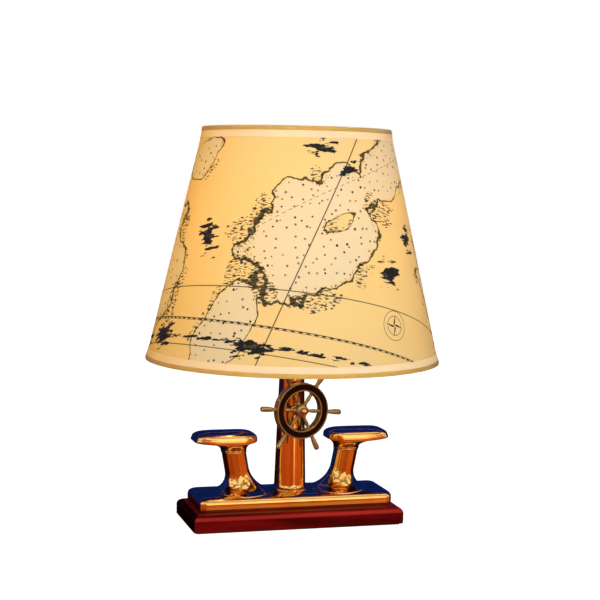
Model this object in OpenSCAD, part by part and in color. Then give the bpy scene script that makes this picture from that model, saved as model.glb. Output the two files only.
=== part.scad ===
// Ship's table lamp: a cast brass double bollard on a mahogany plinth, with a
// turned brass column, a small steering wheel that spins on it, an E27
// lampholder and a tapered chart-paper shade.
// Millimetres. Z is up, the front of the lamp faces -Y, and the origin is on
// the column's axis at the underside of the felt.

/* [Plinth] */
// Length of the mahogany plinth
plinth_len = 184; // [178:1:240]
// Depth of the plinth
plinth_dep = 76; // [66:1:100]
// Thickness of the plinth
plinth_h = 13.8; // [13:0.2:22]
// Radius of the moulding round its top edge
plinth_ovolo = 5; // [2:0.5:6]
// Radius of its upright corners
plinth_corner = 1.5; // [0.5:0.5:4]
// Thickness of the felt under it
felt_t = 1.2; // [0.8:0.1:3]
// How far the felt stays back from the edge
felt_inset = 2.5; // [1:0.5:6]
// Depth of the pocket that hides the nut
pocket_depth = 9; // [8:0.5:10.5]
// Radius of that pocket
pocket_r = 14; // [13:0.5:18]

/* [Fasteners and cord entry] */
// Radius of the hollow tie rod, M10 x 1
rod_r = 5; // [4.6:0.1:5.4]
// Radius of the cord way through the rod
rod_bore_r = 3.5; // [2.5:0.1:3.8]
// Length of rod that shows below its nut
rod_tail = 1.2; // [0.5:0.1:2]
// Thickness of the nut under the plinth
nut_h = 4; // [3:0.5:5]
// Width of that nut across its flats
nut_af = 17; // [14:0.5:19]
// Thickness of the washer
washer_t = 1.5; // [1:0.1:2]
// Radius of the screws that hold the casting to the plinth
base_screw_r = 2; // [1.5:0.5:2.5]
// Distance of those screws from the middle
base_screw_x = 64; // [58:1:68]
// How far they reach into the casting
base_screw_grip = 8; // [5:0.5:10]
// Radius of the cord bore through the gland
gland_bore_r = 3.2; // [2.5:0.1:3.4]
// Wall of the gland
gland_wall = 1; // [0.8:0.1:1.5]
// Length of the gland inside the plinth
gland_len = 11; // [8:0.5:14]
// Thickness of the gland's flange
gland_flange_t = 1.8; // [1:0.1:3]
// Width of the gland's flange beyond its stem
gland_flange_w = 1; // [0.8:0.1:1.4]

/* [Bollard casting] */
// Length of the casting's foot
foot_len = 171; // [162:1:176]
// Depth of the foot
foot_dep = 55; // [50:1:60]
// Height of the upright edge of the foot
foot_edge_h = 7.1; // [5:0.1:9]
// Rise of the crowned top above that edge
crown_h = 6.6; // [4:0.1:8]
// Length of the slope from the crown's ridge to each end
hip_len = 18; // [10:1:24]
// Corner radius of the foot
foot_corner = 6.5; // [5:0.5:14]
// Height of the flat seat that the column stands on
seat_h = 0.2; // [0.1:0.1:1]
// Width of that seat beyond the column's foot
seat_margin = 0.5; // [0.3:0.1:2]
// Distance from the middle to a post's neck
post_x = 50.5; // [48:0.5:54]
// Radius of a post
post_r = 10.5; // [9.5:0.1:12]
// Lean of the posts away from the column
post_lean = 10.5; // [4:0.5:14]
// Height of a neck's seat above the plinth
neck_h = 47.6; // [44:0.1:56]
// Radius of the sweep towards the column
sweep_in = 20; // [12:0.5:20]
// Radius of the sweep at the outer side
sweep_out = 16; // [8:0.5:17]
// Radius of the sweep at front and back
sweep_side = 14; // [8:0.5:14]
// Depth of the ring at the neck
neck_ring_h = 1.6; // [1.2:0.1:3]
// How far the ring at the neck stands out
neck_ring_w = 0.7; // [0.4:0.1:1.5]
// Radius of the stud inside each neck
stud_r = 4; // [3:0.5:5]
// How far a stud reaches into post and head
stud_grip = 9; // [6:0.5:10]

/* [Bollard heads] */
// Reach of a head from its neck's centre, outwards
head_out = 36; // [28:0.1:38]
// Reach of a head towards the column
head_in = 19.4; // [15:0.1:22]
// Half the depth of a head
head_half = 15.5; // [13.5:0.1:20]
// Height from the neck's seat to the lower line of a head's blunt edge
head_under = 6.6; // [5:0.1:9]
// Height of that edge
head_edge = 5; // [3:0.1:8]
// Rise of the crowned top above the edge
head_crown = 6; // [4:0.1:8]
// How much higher the underside lies at the tips
tip_lift = 2.2; // [0:0.1:3]

/* [Column] */
// Height of the column above its seat
col_h = 121.1; // [114:0.1:130]
// Radius of the column at its foot
col_r_foot = 13.7; // [12:0.1:15]
// Radius of the column at its top
col_r_top = 10.1; // [10:0.1:11.5]
// Wall of the column at its top
col_wall = 1.2; // [1:0.1:1.4]
// Height of the hollow sweep round its foot
col_sweep_h = 3.6; // [2:0.1:7]
// How far that sweep spreads
col_sweep_w = 2.4; // [1.5:0.1:4]
// Height of the foot's upright rim
col_rim_h = 0.7; // [0.4:0.1:1.5]
// Height of the spigots that centre the column
spigot_h = 4; // [2:0.5:8]
// Height of the turned cap on the column
cap_h = 5; // [3:0.5:8]
// How far that cap overhangs the column
cap_over = 2.4; // [1:0.1:4]

/* [Steering wheel] */
// Height of the wheel's axis above the column's seat
wheel_z = 69.7; // [62:0.1:76]
// Turn of the wheel round the column
wheel_turn = 9.9; // [-20:0.1:20]
// Turn of the spokes at rest
wheel_rest = -4.8; // [-30:0.1:30]
// Distance from the column's axis to the wheel's middle plane
wheel_off = 19.5; // [18.5:0.1:24]
// Outer radius of the rim
rim_r = 23.9; // [21:0.1:26]
// Width of the rim across its face
rim_w = 6.8; // [6:0.1:8]
// Thickness of the rim
rim_t = 8; // [6:0.1:9]
// Brass edge left outside and inside the dark ring
rim_edge = 1.1; // [0.8:0.1:1.6]
// Depth of the dark rings let into the rim
inlay_t = 0.8; // [0.5:0.1:1.2]
// Radius from the axis to a handle's tip
handle_reach = 38; // [34:0.5:42]
// Number of spokes
spoke_n = 6; // [5:1:8]
// Radius of a spoke where it passes through the rim
spoke_r = 1.9; // [1.4:0.1:2]
// Swell of a handle beyond the spoke
handle_swell = 0.4; // [0.2:0.1:0.8]
// Radius of the hub
hub_r = 5.6; // [5:0.1:7]
// Thickness of the hub
hub_t = 8.6; // [7:0.1:9]
// Radius of the pivot stud
pivot_r = 1.75; // [1.5:0.05:2]
// Thickness of the nut inside the column that holds the pivot
pivot_nut_t = 2.2; // [1.8:0.1:2.4]
// Height of the domed nut on the pivot
cap_nut_h = 3.8; // [3.6:0.1:6]

/* [Lampholder] */
// Height of the lampholder's cap
holder_cap_h = 16; // [14:0.5:20]
// Height of the lampholder's skirt
holder_skirt_h = 36; // [33:0.5:40]
// Outer radius of the skirt, over its thread
holder_r = 19.7; // [19:0.1:21]
// Wall of cap and skirt
holder_wall = 2; // [1.5:0.1:2.5]
// Height above the skirt's foot of the face that carries the shade
carrier_rise = 15; // [12:0.5:20]
// Height of each shade ring
ring_nut_h = 6; // [4:0.5:8]
// Width of a shade ring beyond the skirt
ring_nut_w = 7; // [5:0.5:9]

/* [Bulb] */
// Radius of the glass
bulb_r = 30; // [24:0.5:32]
// Length of the bulb over all
bulb_len = 105; // [100:1:112]
// Radius of the E27 screw cap
bulb_cap_r = 13; // [12.8:0.1:13.2]
// Length of the screw cap
bulb_cap_h = 22; // [20:0.5:24]
// Thickness of the glass
glass_t = 0.8; // [0.5:0.1:1.2]

/* [Shade] */
// Outer radius of the shade at the bottom
shade_r_bot = 125; // [115:1:135]
// Outer radius of the shade at the top
shade_r_top = 79.2; // [65:0.1:95]
// Height of the shade
shade_h = 196.6; // [170:0.1:215]
// Drop of the shade's lower edge below the face that carries it
shade_drop = 45.3; // [36:0.1:56]
// Thickness of the parchment
shade_t = 0.9; // [0.6:0.1:1.5]
// Radius of the wire in both rings
wire_r = 1.5; // [1.2:0.1:2]
// Thickness of the plate that rests on the lower shade ring
fitter_t = 2; // [1.5:0.1:3]
// Radius of the three wire arms
arm_r = 1.5; // [1.2:0.1:2]
// Height of the cream tape round the top edge
tape_top_h = 9.5; // [6:0.1:14]
// Height of the cream tape round the bottom edge
tape_bot_h = 8.8; // [6:0.1:14]
// Height of the gilt edging
gilt_h = 3.7; // [2:0.1:5]
// Thickness of tape and of gilt edging
trim_t = 0.45; // [0.3:0.05:0.8]

/* [Hidden] */

// Seating clearance between a turned part and its hole, per side.
fit = 0.03;
// Running clearance at the wheel's pivot and the bulb's tip, per side.
run = 0.05;
// Clearance where a moving piece faces a fixed one.
free = 0.3;
// A cut reaches this far past the face that it opens.
past = 1;

plinth_top = felt_t + plinth_h;
pocket_z = felt_t + pocket_depth;
washer_z = pocket_z - washer_t;
nut_z = washer_z - nut_h;
rod_z = nut_z - rod_tail;

gland_r = gland_bore_r + gland_wall;
gland_z = felt_t + gland_r + gland_flange_w + 0.3;

foot_edge_z = plinth_top + foot_edge_h;
crown_z = foot_edge_z + crown_h;
seat_z = crown_z + seat_h;
foot_r = col_r_foot + col_sweep_w;
neck_z = plinth_top + neck_h;
neck_r = post_r + neck_ring_w;

col_top = seat_z + col_h;
col_bore_r = col_r_top - col_wall;
cap_top = col_top + cap_h;

axis_z = seat_z + wheel_z;
rim_in = rim_r - rim_w;
hub_bore_r = pivot_r + run;
hub_back = -hub_t / 2;
hub_front = hub_t / 2;
boss_r = hub_r - 0.6;
pivot_washer_t = 0.6;
cap_nut_wall = 1.4;
cap_nut_z = hub_front + run + pivot_washer_t;

skirt_z = cap_top + holder_cap_h;
skirt_top = skirt_z + holder_skirt_h;
skirt_in = holder_r - 2 * holder_wall;
insert_h = 8;
insert_z = skirt_z - 2;
insert_top = insert_z + insert_h;
carrier_z = skirt_z + carrier_rise;
thread_groove = 0.6;
head_points = 48;
ring_bore = holder_r + fit;
rod_top = cap_top + holder_cap_h / 2;

tip_z = insert_top + 4.5;
tip_h = 3;
bulb_cap_z = tip_z + tip_h;
sleeve_t = 0.6;
sleeve_in = bulb_cap_r + free;
bulb_top = tip_z + bulb_len;
bulb_mid = bulb_top - bulb_r;
neck_glass_r = bulb_cap_r - 1;

shade_bot = carrier_z - shade_drop;
shade_top = shade_bot + shade_h;
shade_slope = (shade_r_bot - shade_r_top) / shade_h;
shade_cos = cos(atan(shade_slope));
arm_n = 3;
wire_inset = 0.6;
wire_low_z = shade_bot + wire_r + wire_inset;

brass = "#C8842C";
dark_brass = "#9C5E1E";
steel = "#A8A8A4";
mahogany = "#6E1414";
bakelite = "#222020";
cream = "#F0DCB4";
gilt = "#C49038";

function shade_r(z) = shade_r_bot - (z - shade_bot) * shade_slope;
function col_r(z) = col_r_foot - (col_r_foot - col_r_top) * (z - seat_z) / col_h;
function mix(a, b, t) = a + (b - a) * t;

// Flat shapes

module rounded_rect(len, dep, r) {
    square([len - 2 * r, dep], center = true);
    square([len, dep - 2 * r], center = true);
    for (x = [-1, 1], y = [-1, 1])
        translate([x * (len / 2 - r), y * (dep / 2 - r)]) circle(r, $fn = 32);
}

// Section of the plinth: square below, a quarter round along each top edge.
module plinth_section(len) {
    translate([-len / 2, felt_t]) square([len, plinth_h - plinth_ovolo]);
    translate([-len / 2 + plinth_ovolo, felt_t])
        square([len - 2 * plinth_ovolo, plinth_h]);
    for (x = [-1, 1])
        translate([x * (len / 2 - plinth_ovolo), plinth_top - plinth_ovolo])
            circle(plinth_ovolo, $fn = 48);
}

// Skin over a stack of rings that all have as many points, anticlockwise from
// above, with a flat cap on the first and the last.
module skin(rings) {
    n = len(rings[0]);
    last = len(rings) - 1;
    sides = [
        for (i = [0:last - 1], j = [0:n - 1])
            let (a = i * n + j, b = i * n + (j + 1) % n)
                each [[a, a + n, b + n], [a, b + n, b]]
    ];
    bottom = [for (j = [0:n - 1]) j];
    top = [for (j = [n - 1:-1:0]) last * n + j];
    polyhedron(
        points = [for (ring = rings) each ring],
        faces = concat([bottom], sides, [top]),
        convexity = 6
    );
}

// Base

module felt_pad() {
    color("#23402E")
        linear_extrude(felt_t)
            rounded_rect(plinth_len - 2 * felt_inset, plinth_dep - 2 * felt_inset, 2);
}

module wood_plinth() {
    color(mahogany)
        difference() {
            intersection() {
                linear_extrude(plinth_top) rounded_rect(plinth_len, plinth_dep, plinth_corner);
                rotate([90, 0, 0])
                    linear_extrude(plinth_dep + past, center = true) plinth_section(plinth_len);
                rotate([90, 0, 90])
                    linear_extrude(plinth_len + past, center = true) plinth_section(plinth_dep);
            }
            translate([0, 0, felt_t - past]) cylinder(r = pocket_r, h = pocket_depth + past, $fn = 64);
            cylinder(r = rod_r + fit, h = plinth_top + past, $fn = 48);
            cord_channel();
            translate([0, plinth_dep / 2 + past, gland_z]) rotate([90, 0, 0])
                cylinder(r = gland_r + fit, h = gland_len + 2 * past, $fn = 48);
            for (x = [-1, 1]) translate([x * base_screw_x, 0, 0]) screw_way();
        }
}

// The groove under the plinth that takes the cord from the gland to the pocket.
module cord_channel() {
    y0 = pocket_r / 2;
    y1 = plinth_dep / 2 - gland_len;
    translate([-gland_r, y0, felt_t - past])
        cube([2 * gland_r, y1 - y0, gland_z - felt_t + gland_r + past]);
}

module screw_way() {
    translate([0, 0, felt_t - past])
        cylinder(r = base_screw_r + fit, h = plinth_h + 2 * past, $fn = 32);
    translate([0, 0, felt_t])
        cylinder(r1 = 2 * base_screw_r + fit, r2 = base_screw_r + fit, h = base_screw_r, $fn = 32);
    translate([0, 0, felt_t - past])
        cylinder(r = 2 * base_screw_r + fit, h = past, $fn = 32);
}

module plinth_screws() {
    slot_w = 1;
    slot_d = 0.9;
    color(steel)
        for (x = [-1, 1]) translate([x * base_screw_x, 0, felt_t])
            difference() {
                union() {
                    cylinder(r1 = 2 * base_screw_r, r2 = base_screw_r, h = base_screw_r, $fn = 32);
                    cylinder(r = base_screw_r, h = plinth_h + base_screw_grip, $fn = 32);
                }
                cube([4 * base_screw_r, slot_w, 2 * slot_d], center = true);
            }
}

module cord_gland() {
    color(bakelite)
        translate([0, plinth_dep / 2, gland_z]) rotate([90, 0, 0])
            difference() {
                union() {
                    cylinder(r = gland_r, h = gland_len, $fn = 48);
                    translate([0, 0, -gland_flange_t])
                        cylinder(r1 = gland_r + gland_flange_w - 0.5, r2 = gland_r + gland_flange_w,
                                 h = gland_flange_t, $fn = 48);
                }
                translate([0, 0, -gland_flange_t - past])
                    cylinder(r = gland_bore_r, h = gland_len + gland_flange_t + 2 * past, $fn = 48);
            }
}

// Bollard casting

// One outline of the foot, drawn in by "shrink": 1 at the edge, 0 at the ridge.
function foot_ring(shrink, z) =
    let (
        half_x = foot_len / 2 - hip_len * (1 - shrink),
        half_y = foot_dep / 2 * shrink,
        r = foot_corner * shrink,
        steps = 6
    )
    [for (q = [0:3], s = [0:steps])
        let (
            a = 90 * (q + s / steps),
            sx = q == 0 || q == 3 ? 1 : -1,
            sy = q < 2 ? 1 : -1
        )
        [sx * (half_x - r) + r * cos(a), sy * (half_y - r) + r * sin(a), z]];

module foot_body() {
    steps = 8;
    ridge = 8;
    squareness = 3;
    skin(concat(
        [foot_ring(1, plinth_top)],
        [for (i = [0:steps])
            let (a = i / steps * (90 - ridge))
                foot_ring(pow(cos(a), 2 / squareness),
                          foot_edge_z + crown_h * pow(sin(a), 2 / squareness))]
    ));
}

// The sweep's radius at angle a round a post, where 0 points outwards.
function sweep(a) =
    let (u = cos(a)) mix(sweep_side, u > 0 ? sweep_out : sweep_in, u * u);
// The height at which the sweep meets the crowned foot.
function sweep_foot(a) =
    let (side = abs(sin(a))) mix(crown_z - 0.1, foot_edge_z + crown_h * 0.6, side * side);
function post_mid(z) = post_x - (neck_z - z) * tan(post_lean);

function post_ring(r, z, count) =
    [for (j = [0:count - 1])
        let (a = 360 * j / count) [post_mid(z) + r * cos(a), r * sin(a), z]];

// A leaning round post that sweeps out into the foot. It is drawn at the right.
module post() {
    count = 32;
    steps = 8;
    foot_sink = 2;
    skin(concat(
        [[for (j = [0:count - 1])
            let (a = 360 * j / count, z = sweep_foot(a), r = post_r + sweep(a))
                [post_mid(z) + r * cos(a), r * sin(a), foot_edge_z - foot_sink]]],
        [for (i = [0:steps])
            [for (j = [0:count - 1])
                let (
                    a = 360 * j / count,
                    t = 90 * i / steps,
                    z = sweep_foot(a) + sweep(a) * (1 - cos(t)),
                    r = post_r + sweep(a) * (1 - sin(t))
                )
                [post_mid(z) + r * cos(a), r * sin(a), z]]],
        [post_ring(post_r, neck_z - neck_ring_h - 0.6, count),
         post_ring(neck_r - 0.2, neck_z - neck_ring_h, count),
         post_ring(neck_r, neck_z - neck_ring_h / 2, count),
         post_ring(neck_r - 0.2, neck_z, count)]
    ));
}

module bollard_base() {
    spigot_r = col_bore_r - fit;
    color(brass)
        difference() {
            union() {
                difference() {
                    union() {
                        foot_body();
                        for (side = [0, 1]) mirror([side, 0, 0]) post();
                        translate([0, 0, foot_edge_z])
                            cylinder(r = foot_r + seat_margin, h = seat_z - foot_edge_z, $fn = 96);
                    }
                    translate([0, 0, seat_z])
                        cylinder(r = foot_r + seat_margin, h = neck_h, $fn = 96);
                }
                translate([0, 0, foot_edge_z])
                    cylinder(r = spigot_r, h = seat_z + spigot_h - foot_edge_z, $fn = 64);
            }
            cylinder(r = rod_r + fit, h = seat_z + spigot_h + past, $fn = 48);
            for (x = [-1, 1]) {
                translate([x * base_screw_x, 0, plinth_top - past])
                    cylinder(r = base_screw_r + fit, h = base_screw_grip + past + 1, $fn = 32);
                translate([x * post_x, 0, neck_z - stud_grip])
                    cylinder(r = stud_r + fit, h = stud_grip + past, $fn = 32);
            }
        }
}

// One outline of a head: longer outwards than inwards, fuller than an ellipse.
// It is the neck's circle at "full" 0 and the whole outline at 1.
function head_ring(full, z, lift) =
    [for (j = [0:head_points - 1])
        let (
            a = 360 * j / head_points,
            c = cos(a),
            s = sin(a),
            power = c > 0 ? 0.42 : 0.56,
            x = (c > 0 ? head_out : head_in) * sign(c) * pow(abs(c), power),
            y = head_half * sign(s) * pow(abs(s), power),
            reach = c > 0 ? x / head_out : x / head_in
        )
        [post_x + mix(neck_r * c, x, full), mix(neck_r * s, y, full),
         z + lift * reach * reach]];

// The same outline drawn in towards a ridge that runs along the head.
function crown_ring(shrink, z) =
    let (
        flat = 0.35 * (head_out + head_in) / 2,
        mid = post_x + (head_out - head_in) / 2,
        edge = head_ring(1, z, 0)
    )
    [for (p = edge)
        [mid + (p[0] - mid) * mix(flat / (head_out + head_in) * 2, 1, shrink), p[1] * shrink, z]];

// A horned head: a collar on the neck's seat, a hollow sweep out to the flat
// underside, a blunt edge and a crowned top. It is drawn at the right.
module bollard_head() {
    under = 5;
    steps = 7;
    collar_h = 1;
    chin_h = 1.4;
    chin_in = 0.94;
    low_z = neck_z + head_under;
    high_z = low_z + head_edge;
    ridge = 8;
    squareness = 2.3;
    difference() {
        skin(concat(
            [round_ring(neck_r - 0.2, neck_z),
             round_ring(neck_r, neck_z + collar_h / 2),
             round_ring(neck_r - 0.3, neck_z + collar_h)],
            [for (i = [1:under])
                let (t = 90 * i / under)
                    head_ring(chin_in * (1 - cos(t)), mix(neck_z + collar_h, low_z, sin(t)),
                              tip_lift * (1 - cos(t)))],
            [head_ring(mix(chin_in, 1, 0.7), low_z + chin_h * 0.35, tip_lift),
             head_ring(1, low_z + chin_h, tip_lift)],
            [for (i = [0:steps])
                let (t = i / steps * (90 - ridge))
                    crown_ring(pow(cos(t), 2 / squareness),
                               high_z + head_crown * pow(sin(t), 2 / squareness))]
        ));
        translate([post_x, 0, neck_z - past])
            cylinder(r = stud_r + fit, h = stud_grip + past, $fn = 32);
    }
}

function round_ring(r, z) =
    [for (j = [0:head_points - 1])
        let (a = 360 * j / head_points) [post_x + r * cos(a), r * sin(a), z]];

module left_bollard_head() {
    color(brass) mirror([1, 0, 0]) bollard_head();
}

module right_bollard_head() {
    color(brass) bollard_head();
}

module head_studs() {
    color(steel)
        for (x = [-1, 1]) translate([x * post_x, 0, neck_z - stud_grip])
            cylinder(r = stud_r, h = 2 * stud_grip, $fn = 32);
}

// Column and tie rod

module column() {
    steps = 6;
    rim_z = seat_z + col_rim_h;
    sweep_top = rim_z + col_sweep_h;
    color(brass)
        difference() {
            rotate_extrude($fn = 96)
                polygon(concat(
                    [[0, seat_z], [foot_r, seat_z]],
                    [for (i = [0:steps])
                        let (t = 90 * i / steps)
                            [mix(foot_r, col_r(sweep_top), sin(t)),
                             rim_z + col_sweep_h * (1 - cos(t))]],
                    [[col_r_top, col_top], [0, col_top]]
                ));
            translate([0, 0, seat_z - past]) cylinder(r = col_bore_r, h = col_h + 2 * past, $fn = 64);
            at_wheel() translate([0, 0, -wheel_off])
                cylinder(r = pivot_r + fit, h = wheel_off, $fn = 32);
        }
}

module column_cap() {
    color(brass)
        difference() {
            rotate_extrude($fn = 64)
                polygon([
                    [0, col_top - spigot_h], [col_bore_r - fit, col_top - spigot_h],
                    [col_bore_r - fit, col_top], [col_r_top + cap_over, col_top],
                    [col_r_top + cap_over, col_top + cap_h * 0.4],
                    [col_r_top, col_top + cap_h * 0.7],
                    [col_r_top - 1.5, cap_top], [0, cap_top]
                ]);
            cylinder(r = rod_r + fit, h = cap_top + past, $fn = 48);
        }
}

module tie_rod() {
    color(steel)
        translate([0, 0, rod_z])
            difference() {
                cylinder(r = rod_r, h = rod_top - rod_z, $fn = 48);
                translate([0, 0, -past])
                    cylinder(r = rod_bore_r, h = rod_top - rod_z + 2 * past, $fn = 48);
            }
}

module rod_nut() {
    color(dark_brass)
        translate([0, 0, nut_z])
            difference() {
                cylinder(r = nut_af / 2 / cos(30), h = nut_h, $fn = 6);
                translate([0, 0, -past]) cylinder(r = rod_r + fit, h = nut_h + 2 * past, $fn = 48);
            }
}

module rod_washer() {
    color(steel)
        translate([0, 0, washer_z])
            difference() {
                cylinder(r = pocket_r - 1.5, h = washer_t, $fn = 48);
                translate([0, 0, -past]) cylinder(r = rod_r + fit, h = washer_t + 2 * past, $fn = 48);
            }
}

// Steering wheel

// Puts its children on the wheel's axis: their +Z points out of the front.
module at_wheel() {
    translate([wheel_off * sin(wheel_turn), -wheel_off * cos(wheel_turn), axis_z])
        rotate([90, 0, wheel_turn]) children();
}

// Repeats its children, which lie along +X, once for each spoke.
module each_spoke() {
    at_wheel() for (i = [0:spoke_n - 1])
        rotate([0, 0, wheel_rest + 360 * i / spoke_n]) children();
}

// A round collar shaped to the column, which keeps the hub clear of it.
module wheel_boss() {
    back = -wheel_off + col_bore_r + 0.2;
    color(brass)
        difference() {
            at_wheel() translate([0, 0, back])
                cylinder(r = boss_r, h = hub_back - run - back, $fn = 48);
            translate([0, 0, seat_z])
                cylinder(r1 = col_r_foot + fit, r2 = col_r_top + fit, h = col_h, $fn = 96);
            at_wheel() translate([0, 0, -wheel_off])
                cylinder(r = pivot_r + fit, h = wheel_off, $fn = 32);
        }
}

module wheel_pivot() {
    back = -wheel_off + rod_r + free + 0.1;
    tip = cap_nut_z + cap_nut_h - cap_nut_wall;
    color(steel)
        at_wheel() translate([0, 0, back]) cylinder(r = pivot_r, h = tip - back, $fn = 32);
}

module pivot_nut() {
    flat_z = -wheel_off + sqrt(pow(col_bore_r, 2) - pow(2 * pivot_r, 2)) - 0.05;
    color(dark_brass)
        at_wheel() translate([0, 0, flat_z - pivot_nut_t])
            difference() {
                cylinder(r = 2 * pivot_r, h = pivot_nut_t, $fn = 6);
                translate([0, 0, -past])
                    cylinder(r = pivot_r + fit, h = pivot_nut_t + 2 * past, $fn = 32);
            }
}

module wheel_hub() {
    color(brass)
        difference() {
            at_wheel()
                rotate_extrude($fn = 64)
                    polygon([
                        [hub_bore_r, hub_back], [boss_r, hub_back], [hub_r, hub_back + 0.8],
                        [hub_r, hub_front - 2.4], [hub_r - 0.5, hub_front - 1.4],
                        [hub_r - 1.4, hub_front - 0.5], [hub_r - 2.4, hub_front],
                        [hub_bore_r, hub_front]
                    ]);
            each_spoke() rotate([0, 90, 0])
                cylinder(r = spoke_r * 0.7 + fit, h = hub_r + past, $fn = 32);
        }
}

// Each spoke is turned in one piece: a tenon in the hub, a bead, a slim swell,
// a plain length through the rim, and the stout handle outside it.
module wheel_spokes() {
    tenon = max(hub_bore_r + 0.6, (spoke_r * 0.7 + 0.2) / tan(180 / spoke_n));
    color(brass)
        each_spoke() rotate([0, 90, 0])
            rotate_extrude($fn = 32)
                polygon([
                    [0, tenon], [spoke_r * 0.7, tenon], [spoke_r * 0.7, hub_r + 0.1],
                    [spoke_r, hub_r + 0.6], [spoke_r, hub_r + 1.4],
                    [spoke_r * 0.66, hub_r + 2.2], [spoke_r * 0.9, mix(hub_r, rim_in, 0.55)],
                    [spoke_r * 0.7, rim_in - 1.8], [spoke_r, rim_in - 1],
                    [spoke_r, rim_r + 1], [spoke_r * 0.84, rim_r + 1.8],
                    [spoke_r + handle_swell * 0.3, mix(rim_r, handle_reach, 0.35)],
                    [spoke_r + handle_swell, mix(rim_r, handle_reach, 0.6)],
                    [spoke_r + handle_swell, handle_reach - 1.6],
                    [spoke_r + handle_swell * 0.4, handle_reach - 0.5],
                    [spoke_r * 0.7, handle_reach], [0, handle_reach]
                ]);
}

module wheel_rim() {
    bevel = 0.5;
    color(brass)
        difference() {
            at_wheel()
                rotate_extrude($fn = 96)
                    polygon([
                        [rim_in, bevel - rim_t / 2], [rim_in + bevel, -rim_t / 2],
                        [rim_r - bevel, -rim_t / 2], [rim_r, bevel - rim_t / 2],
                        [rim_r, rim_t / 2 - bevel], [rim_r - bevel, rim_t / 2],
                        [rim_in + bevel, rim_t / 2], [rim_in, rim_t / 2 - bevel]
                    ]);
            for (face = [rim_t / 2 - inlay_t, -rim_t / 2 - past])
                at_wheel() translate([0, 0, face])
                    difference() {
                        cylinder(r = rim_r - rim_edge, h = inlay_t + past, $fn = 96);
                        translate([0, 0, -past])
                            cylinder(r = rim_in + rim_edge, h = inlay_t + 3 * past, $fn = 96);
                    }
            each_spoke() rotate([0, 90, 0]) translate([0, 0, rim_in - past])
                cylinder(r = spoke_r + fit, h = rim_w + 2 * past, $fn = 32);
        }
}

// The dark rings let into the rim's front and back.
module wheel_inlays() {
    sunk = 0.1;
    color("#2A1A14")
        for (face = [rim_t / 2 - inlay_t, sunk - rim_t / 2])
            at_wheel() translate([0, 0, face])
                difference() {
                    cylinder(r = rim_r - rim_edge - fit, h = inlay_t - sunk, $fn = 96);
                    translate([0, 0, -past])
                        cylinder(r = rim_in + rim_edge + fit, h = inlay_t + 2 * past, $fn = 96);
                }
}

module wheel_washer() {
    color(steel)
        at_wheel() translate([0, 0, hub_front + run])
            difference() {
                cylinder(r = 2 * pivot_r - 0.2, h = pivot_washer_t, $fn = 48);
                translate([0, 0, -past])
                    cylinder(r = pivot_r + fit, h = pivot_washer_t + 2 * past, $fn = 32);
            }
}

// The domed nut that closes the wheel's pivot.
module wheel_cap_nut() {
    r = 2 * pivot_r - 0.4;
    color(brass)
        at_wheel() translate([0, 0, cap_nut_z])
            difference() {
                union() {
                    cylinder(r = r, h = cap_nut_h - r, $fn = 48);
                    translate([0, 0, cap_nut_h - r]) intersection() {
                        sphere(r, $fn = 48);
                        cylinder(r = r, h = r, $fn = 48);
                    }
                }
                translate([0, 0, -past])
                    cylinder(r = pivot_r + fit, h = cap_nut_h - cap_nut_wall + fit + past, $fn = 32);
            }
}

// Lampholder

// The cap closes the lampholder below, with a ledge inside for the insert.
module lampholder_cap() {
    neck = rod_r + 2.5;
    inside_r = holder_r - 0.4 - holder_wall;
    floor_z = cap_top + holder_cap_h * 0.56;
    color(bakelite)
        rotate_extrude($fn = 64)
            polygon([
                [rod_r + fit, cap_top], [neck, cap_top], [neck + 0.5, cap_top + 4],
                [holder_r - 5, cap_top + holder_cap_h * 0.4],
                [holder_r - 1.2, cap_top + holder_cap_h * 0.62],
                [holder_r - 0.4, cap_top + holder_cap_h * 0.8],
                [holder_r - 0.4, skirt_z], [inside_r, skirt_z], [inside_r, insert_z],
                [skirt_in - 3, insert_z], [skirt_in - 3, floor_z], [rod_r + fit, floor_z]
            ]);
}

// The ceramic block that carries the contacts.
module lampholder_insert() {
    color("#E8E4DA")
        difference() {
            translate([0, 0, insert_z])
                cylinder(r = skirt_in - 0.3, h = insert_h, $fn = 64);
            for (x = [-1, 1]) translate([x * 9, 0, insert_z - past])
                cylinder(r = 2, h = insert_h + 2 * past, $fn = 32);
        }
}

// The middle spring under the bulb's tip and the side tongue by its sleeve.
module contact_springs() {
    color(brass) {
        translate([-3, -2.5, insert_top]) cube([6, 5, 1.2]);
        translate([-3, -2.5, insert_top]) cube([1.2, 5, tip_z - insert_top - 0.1]);
        translate([-3, -2.5, tip_z - 1.3]) cube([6, 5, 1.2]);
        translate([sleeve_in - 3.8, -2.5, insert_top]) cube([3.3, 5, 1]);
    }
}

module thread_sleeve() {
    z0 = insert_top;
    z1 = skirt_top - 2.5;
    color(brass)
        translate([0, 0, z0])
            difference() {
                cylinder(r = sleeve_in + sleeve_t, h = z1 - z0, $fn = 64);
                translate([0, 0, -past]) cylinder(r = sleeve_in, h = z1 - z0 + 2 * past, $fn = 64);
            }
}

// The black skirt, with the thread grooves that the shade rings run on.
module lampholder_skirt() {
    pitch = 2;
    grooves = floor((holder_skirt_h - 6) / pitch);
    color(bakelite)
        difference() {
            translate([0, 0, skirt_z]) cylinder(r = holder_r, h = holder_skirt_h, $fn = 96);
            translate([0, 0, skirt_z - past])
                cylinder(r = skirt_in, h = holder_skirt_h - 2 + past, $fn = 64);
            translate([0, 0, skirt_z])
                cylinder(r = bulb_cap_r + 1.2, h = holder_skirt_h + past, $fn = 64);
            for (i = [0:grooves - 1]) translate([0, 0, skirt_z + 4 + i * pitch])
                difference() {
                    cylinder(r = holder_r + past, h = pitch / 2, $fn = 96);
                    translate([0, 0, -past])
                        cylinder(r = holder_r - thread_groove, h = pitch / 2 + 2 * past, $fn = 96);
                }
        }
}

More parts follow.
